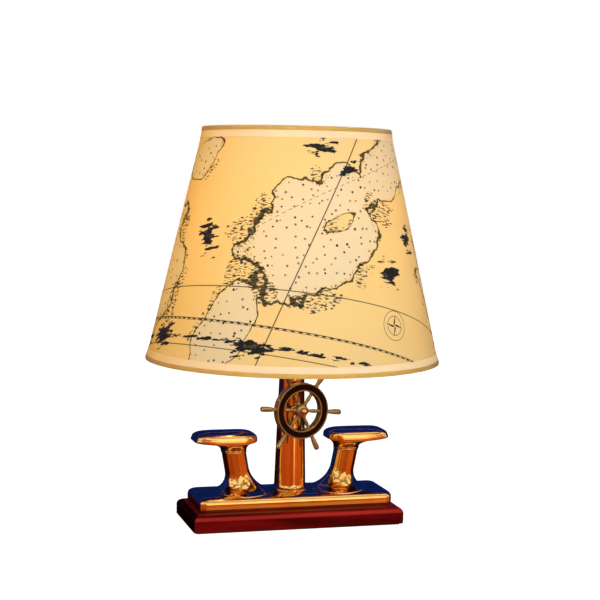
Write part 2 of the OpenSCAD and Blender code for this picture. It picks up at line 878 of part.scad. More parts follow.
// A shade ring: a broad flange to press on the shade's plate and a milled grip.
module ring_nut(flange_z, up) {
    grip_n = 18;
    grip_r = holder_r + ring_nut_w * 0.55;
    flange_r = holder_r + ring_nut_w;
    z0 = up ? flange_z : flange_z - ring_nut_h;
    flange_at = up ? z0 : z0 + ring_nut_h - 2;
    color(bakelite)
        difference() {
            union() {
                translate([0, 0, z0]) cylinder(r = grip_r, h = ring_nut_h, $fn = 96);
                translate([0, 0, flange_at]) cylinder(r = flange_r, h = 2, $fn = 96);
            }
            translate([0, 0, z0 - past]) cylinder(r = ring_bore, h = ring_nut_h + 2 * past, $fn = 96);
            for (i = [0:grip_n - 1]) rotate([0, 0, 360 * i / grip_n])
                translate([grip_r + 0.5, 0, up ? z0 + 2 : z0 - past])
                    cylinder(r = 1.2, h = ring_nut_h - 2 + past, $fn = 16);
        }
}

module lower_shade_ring() {
    ring_nut(carrier_z, false);
}

module upper_shade_ring() {
    ring_nut(carrier_z + fitter_t, true);
}

// Bulb

// Half outline of the glass, "in" millimetres inside its outer face.
function glass_outline(in) =
    let (
        r = bulb_r - in,
        waist_z = bulb_cap_z + bulb_cap_h,
        lowest = -52,
        steps = 14
    )
    concat(
        [[neck_glass_r - in, bulb_cap_z + bulb_cap_h - 6 + in], [neck_glass_r - in, waist_z],
         [neck_glass_r + 1.6 - in, mix(waist_z, bulb_mid - bulb_r * 0.79, 0.5)]],
        [for (i = [0:steps])
            let (a = mix(lowest, 90, i / steps)) [r * cos(a), bulb_mid + r * sin(a)]]
    );

module bulb_glass() {
    outer = glass_outline(0);
    inner = glass_outline(glass_t);
    color("#FFF4DC", 0.5)
        rotate_extrude($fn = 64)
            polygon(concat(outer, [for (i = [len(inner) - 1:-1:0]) inner[i]]));
}

module bulb_stem() {
    z0 = bulb_cap_z + bulb_cap_h - 5;
    color("#DDE6E6", 0.6)
        rotate_extrude($fn = 32)
            polygon([
                [0, z0], [neck_glass_r - glass_t - fit, z0], [neck_glass_r - glass_t - fit, z0 + 1.5],
                [4, z0 + 5], [2.2, z0 + 12], [2.2, bulb_mid - 14], [0, bulb_mid - 14]
            ]);
}

// Two lead wires and the filament that they hold across the bulb.
module bulb_filament() {
    wire = 0.45;
    half = 9;
    z0 = bulb_mid - 13.7;
    z1 = bulb_mid;
    color(steel) {
        for (x = [-1, 1]) {
            translate([x * 1.2, 0, z0]) rotate([0, x * atan((half - 1.2) / (z1 - z0)), 0])
                cylinder(r = wire, h = norm([half - 1.2, z1 - z0]), $fn = 16);
        }
        translate([-half, 0, z1]) rotate([0, 90, 0]) cylinder(r = wire, h = 2 * half, $fn = 16);
    }
}

// The E27 cap, with its rolled thread as rings.
module bulb_cap() {
    pitch = 3.6;
    turns = 5;
    dip = 0.7;
    color(steel)
        rotate_extrude($fn = 64)
            polygon(concat(
                [[neck_glass_r + fit, bulb_cap_z + bulb_cap_h], [bulb_cap_r - dip, bulb_cap_z + bulb_cap_h]],
                [for (i = [0:2 * turns])
                    [bulb_cap_r - (i % 2 == 0 ? dip : 0),
                     bulb_cap_z + bulb_cap_h - 2 - i * pitch / 2]],
                [[bulb_cap_r - 3.5, bulb_cap_z], [bulb_cap_r - 4.1, bulb_cap_z],
                 [bulb_cap_r - 4.1, bulb_cap_z + 0.6],
                 [bulb_cap_r - dip - 0.6, bulb_cap_z + bulb_cap_h - 2 - turns * pitch],
                 [bulb_cap_r - dip - 0.6, bulb_cap_z + bulb_cap_h - 7],
                 [neck_glass_r + fit, bulb_cap_z + bulb_cap_h - 7]]
            ));
}

// The black glass button and the contact under the cap.
module bulb_tip() {
    r = bulb_cap_r - 4.1 - run;
    color("#1C1C1C")
        rotate_extrude($fn = 48)
            polygon([
                [0, tip_z], [3.6, tip_z], [4.4, tip_z + 0.8], [r - 0.8, bulb_cap_z - 0.2],
                [r, bulb_cap_z], [r, bulb_cap_z + 0.6], [0, bulb_cap_z + 0.6]
            ]);
}

// Shade

// A band that follows the shade's slope between two heights, from "near" to
// "far" millimetres outside its outer face.
function band(z0, z1, near, far) = [
    [shade_r(z0) + near / shade_cos, z0], [shade_r(z0) + far / shade_cos, z0],
    [shade_r(z1) + far / shade_cos, z1], [shade_r(z1) + near / shade_cos, z1]
];

module shade_shell() {
    color(cream)
        rotate_extrude($fn = 128) polygon(band(shade_bot, shade_top, -shade_t, 0));
}

// Inner radius at which a ring of wire lies against the parchment.
function wire_ring_r(z) = shade_r(z) - (shade_t + wire_r + fit) / shade_cos;

module wire_ring(z) {
    rotate_extrude($fn = 96) translate([wire_ring_r(z), z]) circle(wire_r, $fn = 24);
}

// The plate with the hole that drops over the lampholder, and its three wire
// arms, which are welded to the lower ring of wire.
module shade_carrier() {
    plate_z = carrier_z + fitter_t / 2;
    plate_r = holder_r + ring_nut_w + 3;
    run_x = wire_ring_r(wire_low_z) - plate_r + 1;
    drop = plate_z - wire_low_z;
    weld = wire_r + 0.05;
    color("#E6DFCC")
        difference() {
            union() {
                translate([0, 0, carrier_z]) cylinder(r = plate_r, h = fitter_t, $fn = 96);
                for (i = [0:arm_n - 1]) rotate([0, 0, 90 + 360 * i / arm_n])
                    translate([plate_r - 1, 0, plate_z]) rotate([0, 90 + atan(drop / run_x), 0])
                        cylinder(r = arm_r, h = norm([run_x, drop]) - weld, $fn = 24);
            }
            translate([0, 0, carrier_z - past])
                cylinder(r = ring_bore, h = fitter_t + 2 * past, $fn = 96);
        }
}

module shade_bottom_wire() {
    color("#E6DFCC") wire_ring(wire_low_z);
}

module shade_top_wire() {
    color("#E6DFCC") wire_ring(shade_top - wire_r - wire_inset);
}

module shade_top_tape() {
    color("#F4E4C0")
        rotate_extrude($fn = 128) polygon(band(shade_top - tape_top_h, shade_top, fit, trim_t));
}

module shade_bottom_tape() {
    color("#F4E4C0")
        rotate_extrude($fn = 128) polygon(band(shade_bot, shade_bot + tape_bot_h, fit, trim_t));
}

module shade_top_gilt() {
    color(gilt)
        rotate_extrude($fn = 128)
            polygon(band(shade_top - gilt_h, shade_top, trim_t + fit, 2 * trim_t));
}

module shade_bottom_gilt() {
    color(gilt)
        rotate_extrude($fn = 128)
            polygon(band(shade_bot, shade_bot + gilt_h, trim_t + fit, 2 * trim_t));
}

felt_pad();
wood_plinth();
plinth_screws();
cord_gland();
bollard_base();
left_bollard_head();
right_bollard_head();
head_studs();
column();
column_cap();
tie_rod();
rod_nut();
rod_washer();
wheel_boss();
wheel_pivot();
pivot_nut();
wheel_hub();
wheel_spokes();
wheel_rim();
wheel_inlays();
wheel_washer();
wheel_cap_nut();
lampholder_cap();
lampholder_insert();
contact_springs();
thread_sleeve();
lampholder_skirt();
lower_shade_ring();
upper_shade_ring();
bulb_glass();
bulb_stem();
bulb_filament();
bulb_cap();
bulb_tip();
shade_shell();
shade_carrier();
shade_bottom_wire();
shade_top_wire();
shade_top_tape();
shade_bottom_tape();
shade_top_gilt();
shade_bottom_gilt();
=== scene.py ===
"""A ship's table lamp: cast brass double bollard on a mahogany plinth, brass column with a steering
wheel, and a tapered shade printed as an old sea chart. Everything is in metres, in the frame of the
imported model: +Z up, the front towards -Y, the origin under the column at the table."""
import math

import bmesh
import bpy
import numpy as np
from mathutils import Matrix, Vector


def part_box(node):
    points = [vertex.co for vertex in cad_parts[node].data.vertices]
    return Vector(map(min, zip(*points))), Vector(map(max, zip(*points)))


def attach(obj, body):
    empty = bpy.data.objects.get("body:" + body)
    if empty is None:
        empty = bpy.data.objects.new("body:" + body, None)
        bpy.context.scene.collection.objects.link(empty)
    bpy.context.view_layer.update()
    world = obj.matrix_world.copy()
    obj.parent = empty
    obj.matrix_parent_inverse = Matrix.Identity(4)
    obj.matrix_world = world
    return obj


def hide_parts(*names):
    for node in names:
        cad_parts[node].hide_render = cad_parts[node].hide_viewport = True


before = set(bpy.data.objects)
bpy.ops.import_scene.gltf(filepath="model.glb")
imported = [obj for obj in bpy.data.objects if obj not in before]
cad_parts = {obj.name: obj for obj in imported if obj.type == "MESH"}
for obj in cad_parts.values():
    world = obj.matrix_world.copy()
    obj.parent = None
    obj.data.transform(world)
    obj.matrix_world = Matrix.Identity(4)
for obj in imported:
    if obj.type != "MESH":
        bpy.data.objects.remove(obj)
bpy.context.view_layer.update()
scene = bpy.context.scene
mm = 0.001

# Camera. It stands a little to the left of the lamp's front and above it, as the photographer did,
# and leans by about a degree.
view_turn = math.radians(15.92)
view_far, view_high = 1.2351, 0.2968
view_pan = math.radians(0.2614)
view_dip = math.radians(4.877)
view_roll = math.radians(1.207)
film_px, focal_px, film_mm = 600, 1446.6, 36.0

heading = view_turn + view_pan
level = Vector((math.sin(heading), math.cos(heading), 0))
side = Vector((math.cos(heading), -math.sin(heading), 0))
ahead = level * math.cos(view_dip) - Vector((0, 0, 1)) * math.sin(view_dip)
above = Vector((0, 0, 1)) * math.cos(view_dip) + level * math.sin(view_dip)
camera_right = side * math.cos(view_roll) + above * math.sin(view_roll)
camera_up = above * math.cos(view_roll) - side * math.sin(view_roll)
lens = bpy.data.cameras.new("camera")
lens.sensor_width = film_mm
lens.lens = focal_px / film_px * film_mm
lens.clip_start, lens.clip_end = 0.05, 50
camera = bpy.data.objects.new("camera", lens)
scene.collection.objects.link(camera)
turned = Matrix((camera_right, camera_up, -ahead)).transposed().to_4x4()
eye = Vector((-view_far * math.sin(view_turn), -view_far * math.cos(view_turn), view_high))
camera.matrix_world = Matrix.Translation(eye) @ turned
scene.camera = camera
scene.view_settings.view_transform = "Standard"


# Studio. A pale sweep of floor under soft white light. Polished brass shows what stands round it, so
# the room that it mirrors has a lit front with one narrow lamp, dark corners and a blue back wall.
class Tone:
    """A value in a node tree. Its operators add Math nodes."""

    def __init__(self, node, output=0):
        self.node, self.tree = node, node.id_data
        self.socket = node.outputs[output]

    def plug(self, socket):
        self.tree.links.new(self.socket, socket)

    def also(self, output):
        return Tone(self.node, output)

    def math(self, operation, *values):
        node = self.tree.nodes.new("ShaderNodeMath")
        node.operation = operation
        for socket, value in zip(node.inputs, values):
            if isinstance(value, Tone):
                value.plug(socket)
            else:
                socket.default_value = value
        return Tone(node)

    def __add__(self, other):
        return self.math("ADD", self, other)

    def __radd__(self, other):
        return self.math("ADD", other, self)

    def __sub__(self, other):
        return self.math("SUBTRACT", self, other)

    def __rsub__(self, other):
        return self.math("SUBTRACT", other, self)

    def __mul__(self, other):
        return self.math("MULTIPLY", self, other)

    def __rmul__(self, other):
        return self.math("MULTIPLY", other, self)

    def __truediv__(self, other):
        return self.math("DIVIDE", self, other)

    def __pow__(self, other):
        return self.math("POWER", self, other)

    def __lt__(self, other):
        return self.math("LESS_THAN", self, other)

    def __gt__(self, other):
        return self.math("GREATER_THAN", self, other)

    def __abs__(self):
        return self.math("ABSOLUTE", self)

    def root(self):
        return self.math("SQRT", self)

    def sine(self):
        return self.math("SINE", self)

    def cosine(self):
        return self.math("COSINE", self)

    def least(self, other):
        return self.math("MINIMUM", self, other)

    def most(self, other):
        return self.math("MAXIMUM", self, other)

    def part(self):
        return self.math("FRACT", self)


class Mixer:
    """Builds the nodes of a material or of the room."""

    def __init__(self, tree):
        self.tree = tree
        tree.nodes.clear()

    def node(self, kind, settings=None, inputs=None, output=0):
        """Adds a node: its settings first, a ramp's as "stops", then what its sockets take."""
        node = self.tree.nodes.new("ShaderNode" + kind)
        for name, value in (settings or {}).items():
            if name == "stops":
                ramp = node.color_ramp.elements
                while len(ramp) < len(value):
                    ramp.new(0.5)
                for stop, (at, colour) in zip(ramp, value):
                    stop.position = at
                    stop.color = (*colour, 1)
            else:
                setattr(node, name, value)
        for name, value in (inputs or {}).items():
            if isinstance(value, Tone):
                value.plug(node.inputs[name])
            else:
                node.inputs[name].default_value = value
        return Tone(node, output)

    def shade(self, amount, low, high):
        """A colour between two, by an amount from 0 to 1."""
        low, high = (c if isinstance(c, Tone) else (*c, 1) for c in (low, high))
        return self.node("Mix", {"data_type": "RGBA"}, {0: amount, 6: low, 7: high}, 2)

    def ease(self, value, start, stop, low=0.0, high=1.0):
        """A soft step from low to high as the value goes from start to stop."""
        inputs = {0: value, 1: start, 2: stop, 3: low, 4: high}
        return self.node("MapRange", {"interpolation_type": "SMOOTHSTEP"}, inputs)


world = bpy.data.worlds.new("studio")
scene.world = world
world.use_nodes = True
room = Mixer(world.node_tree)
towards = room.node("TexCoord", output="Generated")
split = room.node("SeparateXYZ", inputs={0: towards})
right_way, back_way, up_way = split, split.also("Y"), split.also("Z")
bearing = room.node("Math", {"operation": "ARCTAN2"}, {0: right_way, 1: 0 - back_way})
low_glow = room.ease(up_way, -0.16, -0.32) * room.ease(up_way, -0.60, -0.48)
low_glow = low_glow * room.ease(abs(bearing - 0.285), 0.20, 0.10)
front_wall = room.ease(up_way, -0.62, -0.2, 0.20, 0.57) * room.ease(bearing, 0.2, 0.34, 0.92, 1.10)
ceiling = room.ease(up_way, -0.06, 0.16) * room.ease(up_way, 0.99, 0.9)
key_strip = room.ease(abs(bearing - 0.27), 0.13, 0.05) * room.ease(abs(up_way + 0.04), 0.12, 0.09)
window = room.ease(abs(bearing - 0.27), 0.24, 0.14) * room.ease(up_way, -0.11, -0.03)
fading = 1 - room.ease(up_way, 0.3, 0.9) * room.ease(abs(bearing - 0.27), 0.20, 0.10) * 0.6
shelf = room.ease(abs(up_way + 0.19), 0.034, 0.016) * room.ease(abs(bearing - 0.285), 0.20, 0.10)
clutter = room.node("TexNoise", inputs={"Vector": towards, "Scale": 2.6, "Detail": 3.0, "Roughness": 0.5})
dark_table = room.ease(abs(bearing - 0.29), 0.034, 0.024) * room.ease(abs(up_way + 0.235), 0.030, 0.014)
dark_right = room.ease(bearing, 1.3, 1.5)
dark_left = room.ease(bearing, -1.40, -1.62)
dimmed = (1 - dark_right * 0.94) * (1 - dark_left * 0.96) * (1 - dark_table * 0.5) * (1 - shelf * 0.4)
orange = (front_wall * room.ease(clutter, 0.35, 0.6, 0.86, 1.08) + key_strip * 1.1) * dimmed * (1 - ceiling * 0.85)
gold = (ceiling * room.ease(clutter, 0.44, 0.56, 0.30, 1.30)).most(window * 1.0) * fading * dimmed + low_glow * 0.16
orange_green = (orange ** 1.912 * 0.345).most(orange * 0.2)
orange_blue = (orange ** 3.387 * 0.1128).most(orange * 0.035)
warm_room = room.node("CombineXYZ", inputs={0: orange + gold, 1: orange_green + gold * 0.92,
                                            2: orange_blue + gold ** 1.5 * 0.72})
blue_amount = room.ease(back_way, -0.02, 0.16) * room.ease(up_way, -0.125, -0.07)
mirrored = room.shade(blue_amount, warm_room, (0.003, 0.020, 0.40))
path = room.node("LightPath", output="Is Glossy Ray")
seen = room.shade(path, (1.0, 1.0, 1.0), mirrored)
lit = room.node("LightPath", output="Is Diffuse Ray")
ambient = room.shade(room.ease(right_way, -0.6, 0.5), (0.0, 0.0, 0.0), (0.08, 0.075, 0.065))
seen = room.shade(lit, seen, ambient)
glow = room.node("Background", inputs={"Color": seen, "Strength": 1.0})
glow.plug(room.tree.nodes.new("ShaderNodeOutputWorld").inputs[0])

floor_mesh = bpy.data.meshes.new("floor")
far = 4.0
floor_mesh.from_pydata([(-far, -far, 0), (far, -far, 0), (far, far, 0), (-far, far, 0)], [], [(0, 1, 2, 3)])
floor = bpy.data.objects.new("floor", floor_mesh)
scene.collection.objects.link(floor)
floor_paint = bpy.data.materials.new("pale_floor")
floor_paint.use_nodes = True
paper = Mixer(floor_paint.node_tree)
paper_coat = paper.node("BsdfPrincipled", inputs={"Base Color": (0.35, 0.35, 0.35, 1), "Roughness": 0.9,
                                                  "Emission Color": (1, 1, 1, 1), "Emission Strength": 0.97})
paper_coat.plug(paper.tree.nodes.new("ShaderNodeOutputMaterial").inputs[0])
floor_mesh.materials.append(floor_paint)
floor.visible_glossy = False
floor.visible_diffuse = False


def soft_lamp(name, place, aim, size, watts, colour=(1, 1, 1), beam=180):
    """A square soft light that the brass doesn't mirror: it mirrors the room instead."""
    data = bpy.data.lights.new(name, "AREA")
    data.size, data.energy, data.color, data.spread = size, watts, colour, math.radians(beam)
    lamp = bpy.data.objects.new(name, data)
    scene.collection.objects.link(lamp)
    away = Vector(place) - Vector(aim)
    lamp.matrix_world = Matrix.Translation(place) @ away.to_track_quat("Z", "Y").to_matrix().to_4x4()
    lamp.visible_glossy = False


soft_lamp("key_light", (-0.1, -1.7, 0.75), (0, 0, 0.2), 0.6, 22)
soft_lamp("left_light", (-1.32, -0.2, 0.42), (0, 0, 0.24), 0.3, 0.34, (1, 0.60, 0.12), 22)
soft_lamp("right_light", (0.75, -1.1, 0.42), (0, 0, 0.24), 0.3, 0.16, (1, 0.62, 0.10), 20)
soft_lamp("top_light", (0.4, -0.3, 2.2), (0, 0, 0.1), 1.6, 9)
soft_lamp("back_light", (0.5, 1.9, 0.9), (0, 0, 0.2), 0.8, 7)


# Felt pad. A sheet of green baize, glued under the plinth so that the lamp doesn't scratch the table.
class Finish(Mixer):
    """One material: a Principled shader and what feeds it."""

    def __init__(self, name, **fixed):
        self.material = bpy.data.materials.new(name)
        self.material.use_nodes = True
        super().__init__(self.material.node_tree)
        self.coat = self.node("BsdfPrincipled")
        self.end = self.tree.nodes.new("ShaderNodeOutputMaterial")
        self.coat.plug(self.end.inputs[0])
        self.place = self.node("TexCoord", output="Object")
        for name, value in fixed.items():
            self.set(name, value)

    def set(self, name, value):
        socket = self.coat.node.inputs[name.replace("_", " ")]
        if isinstance(value, Tone):
            value.plug(socket)
        elif socket.type == "RGBA":
            socket.default_value = (*value, 1)
        else:
            socket.default_value = value

    def noise(self, scale, detail=3, rough=0.5, at=None, stretch=None, bend=0.0):
        """Noise at a scale in cycles a metre, stretched along the axes if asked."""
        at = at or self.place
        if stretch:
            at = self.node("Mapping", inputs={"Vector": at, "Scale": stretch})
        inputs = {"Vector": at, "Scale": scale, "Detail": detail, "Roughness": rough, "Distortion": bend}
        return self.node("TexNoise", inputs=inputs)

    def relief(self, height, depth, strength=1.0):
        """A bump of the given depth in metres."""
        bump = self.node("Bump", inputs={"Height": height, "Distance": depth, "Strength": strength})
        self.set("Normal", bump)


felt = Finish("green_felt", Roughness=0.95, Sheen_Weight=0.5, Sheen_Roughness=0.6)
fibres = felt.noise(2600, 4, 0.7, stretch=(1, 0.4, 1))
felt.set("Base_Color", felt.shade(fibres * 0.8 + felt.noise(60) * 0.2, (0.006, 0.03, 0.014), (0.03, 0.11, 0.055)))
felt.relief(fibres, 0.0003)


def clad(node, finish):
    """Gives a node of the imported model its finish."""
    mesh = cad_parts[node].data
    mesh.materials.clear()
    mesh.materials.append(finish.material)


clad("felt_pad", felt)


# Plinth. A mahogany board with a quarter-round moulding round its top, stained dark red and lacquered. Its colour
# carries a painted highlight along the moulding and painted shade on its two end faces.
def box_ring(half_x, half_y, corner, z, steps=8):
    """A rounded rectangle of points at height z, anticlockwise from above."""
    ring = []
    for quarter in range(4):
        for step in range(steps + 1):
            a = math.pi / 2 * (quarter + step / steps)
            sx = 1 if quarter in (0, 3) else -1
            sy = 1 if quarter < 2 else -1
            ring.append((sx * (half_x - corner) + corner * math.cos(a),
                         sy * (half_y - corner) + corner * math.sin(a), z))
    return ring


def loft(rings, caps=True):
    """Vertices and faces of a skin over rings of as many points each."""
    count = len(rings[0])
    points = [p for ring in rings for p in ring]
    faces = []
    for i in range(len(rings) - 1):
        for j in range(count):
            a, b = i * count + j, i * count + (j + 1) % count
            faces.append((a, b, b + count, a + count))
    if caps:
        last = (len(rings) - 1) * count
        faces.append(tuple(reversed(range(count))))
        faces.append(tuple(range(last, last + count)))
    return points, faces


def joined(*shells):
    """Several shells of points and faces as one."""
    points, faces = [], []
    for shell_points, shell_faces in shells:
        start = len(points)
        points += list(shell_points)
        faces += [tuple(start + i for i in face) for face in shell_faces]
    return points, faces


def piece(name, shape, finish, body, stands_for, crease=35):
    """Makes a closed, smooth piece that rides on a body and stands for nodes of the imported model."""
    mesh = bpy.data.meshes.new(name)
    mesh.from_pydata([tuple(p) for p in shape[0]], [], shape[1])
    work = bmesh.new()
    work.from_mesh(mesh)
    bmesh.ops.remove_doubles(work, verts=work.verts, dist=1e-7)
    bmesh.ops.recalc_face_normals(work, faces=work.faces)
    work.to_mesh(mesh)
    work.free()
    mesh.shade_smooth()
    mesh.set_sharp_from_angle(angle=math.radians(crease))
    mesh.materials.append(finish.material)
    made = bpy.data.objects.new(name, mesh)
    scene.collection.objects.link(made)
    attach(made, body)
    if stands_for:
        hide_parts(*stands_for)
    return made


mahogany = Finish("mahogany", IOR=1.22, Specular_IOR_Level=0.08)
drift = mahogany.noise(7, 3, 0.5, stretch=(0.5, 2.2, 2.2))
fine_grain = mahogany.noise(160, 6, 0.65, stretch=(0.05, 1, 1), bend=0.6)
rings_at = mahogany.node("SeparateXYZ", inputs={0: mahogany.place})
rings = ((rings_at.also("Y") * 520 + rings_at.also("Z") * 260 + drift * 26).sine() + 1) * 0.5
figure = rings * 0.35 + fine_grain * 0.65
deep_red, warm_red = (0.055, 0.0016, 0.0018), (0.21, 0.0065, 0.006)
stained = mahogany.node("ValToRGB", {"stops": [(0.25, deep_red), (0.5, (0.125, 0.003, 0.003)), (0.78, warm_red)]}, {0: figure})
pores = mahogany.noise(900, 2, 0.5, stretch=(0.035, 1, 1)) > 0.66
pored = mahogany.shade(pores * 0.6, stained, (0.012, 0.002, 0.002))
# Painted highlight: a lighter red band in the base colour along the rounding of the moulding, at a fixed height,
# standing in for the gloss line that light draws there.
moulding_highlight = mahogany.ease(abs(rings_at.also("Z") - 0.0122), 0.0021, 0.0007) * (0.35 + drift * 0.5)
# Painted shade: a mask of the board's end faces, which the shader below turns nearly black.
end_grain = mahogany.node("Attribute", {"attribute_name": "end_grain"}, output="Fac")
mahogany.set("Base_Color", mahogany.shade(moulding_highlight, pored, (0.46, 0.030, 0.024)))
mahogany.set("Roughness", 0.34 + fine_grain * 0.2)
mahogany.relief(fine_grain * 0.5 - pores * 0.5, 0.00006)
wood_low, wood_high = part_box("wood_plinth")
plinth_half = (wood_high.x, wood_high.y)
ovolo = 5 * mm
corner = 1.5 * mm
edge_rings = [box_ring(*plinth_half, corner, wood_low.z)]
quirk = 0.55 * mm
lower_edge = 0.5 * mm
edge_rings = [box_ring(plinth_half[0] - lower_edge, plinth_half[1] - lower_edge, corner, wood_low.z),
              box_ring(*plinth_half, corner + lower_edge, wood_low.z + lower_edge)]
for step in range(13):
    a = math.pi / 2 * step / 12
    inset = ovolo * (1 - math.cos(a))
    edge_rings.append(box_ring(plinth_half[0] - inset, plinth_half[1] - inset, corner + 0.4 * inset,
                               wood_high.z - ovolo + ovolo * math.sin(a)))
# Painted shade: the end faces take a near-black plain diffuse shader in place of the lacquered wood. Real end grain
# takes the stain darker, and this near black also stands in for the shade on the ends.
shaded_end = mahogany.node("BsdfDiffuse", inputs={"Color": (0.004, 0.0006, 0.0006, 1)})
mahogany.node("MixShader", inputs={0: end_grain * 0.95, 1: mahogany.coat, 2: shaded_end}).plug(mahogany.end.inputs[0])
board = piece("mahogany_plinth", loft(edge_rings), mahogany, "base", ["wood_plinth"], 40).data
# Painted shade mask: 1 on the faces that look along X, the board's ends, falling to 0 as faces turn away.
ends = board.attributes.new("end_grain", "FLOAT", "CORNER")
ends.data.foreach_set("value", [min(max(abs(face.normal.x) * 6 - abs(face.normal.y) * 4, 0), 1) for face in board.polygons
                                for _ in face.loop_indices])

# Screws, nut and washer under the plinth, and the other hidden fasteners. The screws, washer, rod, studs and pivot pin
# are plain turned steel, a little dulled; the nuts, contact springs and thread sleeve are raw brass.
dull_steel = Finish("dull_steel", Metallic=1.0)
streaks = dull_steel.noise(700, 4, 0.6)
dull_steel.set("Base_Color", dull_steel.shade(streaks, (0.32, 0.31, 0.29), (0.55, 0.54, 0.51)))
dull_steel.set("Roughness", 0.3 + streaks * 0.2)
for node in ("plinth_screws", "rod_washer", "tie_rod", "head_studs", "wheel_pivot"):
    clad(node, dull_steel)
raw_brass = Finish("raw_brass", Metallic=1.0)
tarnish = raw_brass.noise(240, 4, 0.6)
raw_brass.set("Base_Color", raw_brass.shade(tarnish, (0.28, 0.15, 0.05), (0.62, 0.42, 0.16)))
raw_brass.set("Roughness", 0.32 + tarnish * 0.22)
for node in ("rod_nut", "pivot_nut", "contact_springs", "thread_sleeve"):
    clad(node, raw_brass)


# Cord gland. A black moulded bush with a thin flange, pressed into the back of the plinth.
def soft_line(points, ease=0.3 * mm, steps=4):
    """A profile with each inner corner rounded off."""
    made = [points[0]]
    for before, here, after in zip(points, points[1:], points[2:]):
        b, h, a = (np.array(p, float) for p in (before, here, after))
        back, on = b - h, a - h
        reach_back = min(ease, np.linalg.norm(back) * 0.45)
        reach_on = min(ease, np.linalg.norm(on) * 0.45)
        start = h + back / np.linalg.norm(back) * reach_back
        stop = h + on / np.linalg.norm(on) * reach_on
        for step in range(steps + 1):
            t = step / steps
            made.append(tuple((1 - t) ** 2 * start + 2 * t * (1 - t) * h + t * t * stop))
    made.append(points[-1])
    return made


def turn(profile, around=96, place=None, ring_shaped=False):
    """A turned shape from a profile of (radius, height); ring_shaped joins its ends to a closed section."""
    place = place or Matrix.Identity(4)
    points, faces = [], []
    rows = []
    for radius, height in profile:
        if radius < 1e-7:
            rows.append([len(points)])
            points.append(place @ Vector((0, 0, height)))
            continue
        rows.append(list(range(len(points), len(points) + around)))
        for j in range(around):
            a = 2 * math.pi * j / around
            points.append(place @ Vector((radius * math.cos(a), radius * math.sin(a), height)))
    pairs = list(zip(rows, rows[1:]))
    if ring_shaped:
        pairs.append((rows[-1], rows[0]))
    for low, high in pairs:
        for j in range(around):
            k = (j + 1) % around
            if len(low) == 1 and len(high) > 1:
                faces.append((low[0], high[k], high[j]))
            elif len(high) == 1 and len(low) > 1:
                faces.append((low[j], low[k], high[0]))
            elif len(low) > 1:
                faces.append((low[j], low[k], high[k], high[j]))
    return [tuple(p) for p in points], faces


black_plastic = Finish("black_bakelite", Roughness=0.28, Specular_IOR_Level=0.5)
mottle = black_plastic.noise(420, 4, 0.55)
black_plastic.set("Base_Color", black_plastic.shade(mottle, (0.008, 0.007, 0.007), (0.022, 0.019, 0.018)))
black_plastic.set("Roughness", 0.22 + black_plastic.noise(90, 3) * 0.22)
black_plastic.relief(mottle, 0.00002)
gland_low, gland_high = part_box("cord_gland")
gland_z = (gland_low.z + gland_high.z) / 2
gland_bore, gland_stem, gland_lip, lip_thick = 3.2 * mm, 4.2 * mm, 5.2 * mm, 1.8 * mm
gland_back = gland_high.y
gland_place = Matrix.Translation((0, gland_back, gland_z)) @ Matrix.Rotation(math.radians(90), 4, "X")
gland_line = soft_line([(gland_bore, 6 * mm), (gland_bore, 0), (gland_lip - 0.5 * mm, 0), (gland_lip, lip_thick),
                        (gland_stem, lip_thick), (gland_stem, gland_high.y - gland_low.y),
                        (gland_bore, gland_high.y - gland_low.y), (gland_bore, 6 * mm)], 0.4 * mm)[:-1]
piece("black_cord_gland", turn(gland_line, 64, gland_place, True), black_plastic, "base", ["cord_gland"])

# Bollard casting. One brass casting: a crowned foot with hipped ends, and two round posts that lean
# outwards and sweep out of it all round. It is filed, polished to a mirror and lacquered.
foot_half, foot_deep, foot_hip, foot_corner = 85.5, 27.5, 18.0, 6.5
edge_top, crown_rise, crown_power = 21.2, 7.5, 3.0
plinth_top = 15.0
post_x, post_r, post_lean = 50.5, 10.5, math.tan(math.radians(10.5))
neck_z = 62.6
sweep_in, sweep_out, sweep_side = 20.0, 16.0, 14.0


def foot_plan(x, y):
    """0 on the ridge, 1 at the edge of the foot: a rounded rectangle that shrinks towards the ridge."""
    u = np.maximum(np.abs(x) - (foot_half - foot_hip), 0) / foot_hip
    v = np.abs(y) / foot_deep
    ku, kv = foot_corner / foot_hip, foot_corner / foot_deep
    a = ((1 - ku) / ku) ** 2 + ((1 - kv) / kv) ** 2 - 1
    b = u * (1 - ku) / ku ** 2 + v * (1 - kv) / kv ** 2
    c = (u / ku) ** 2 + (v / kv) ** 2
    round_corner = (b - np.sqrt(np.maximum(b * b - a * c, 0))) / a
    in_corner = (u > (1 - ku) * v) & (v > (1 - kv) * u)
    return np.where(in_corner, round_corner, np.maximum(u, v))


def foot_top(x, y):
    """Height of the crowned foot at a place."""
    return edge_top + crown_rise * np.maximum(1 - foot_plan(x, y) ** crown_power, 0) ** (1 / crown_power)


def casting_field(p):
    """Below 0 inside the casting, above 0 outside it, in millimetres or nearly so."""
    x, y, z = np.abs(p[..., 0]), p[..., 1], p[..., 2]
    rise = np.maximum(z - edge_top, 0) / crown_rise
    tuck = 0.5 * (np.clip(edge_top - z, 0, 8) / 6.2) ** 2
    foot = ((foot_plan(x, y) ** crown_power + rise ** crown_power) ** (1 / crown_power) - 1) * 14 + tuck * 0.5
    from_axis = x - (post_x - (neck_z - z) * post_lean)
    away = np.hypot(from_axis, y)
    cosine = from_axis / np.maximum(away, 1e-6)
    sweep = sweep_side + (np.where(cosine > 0, sweep_out, sweep_in) - sweep_side) * cosine ** 2
    climb = np.clip((z - foot_top(x, y)) / sweep, 0, 1)
    post = away - (post_r + sweep * (1 - np.sqrt(1 - (1 - climb) ** 2)))
    post = np.maximum(post, z - neck_z)
    return np.minimum(foot, post)


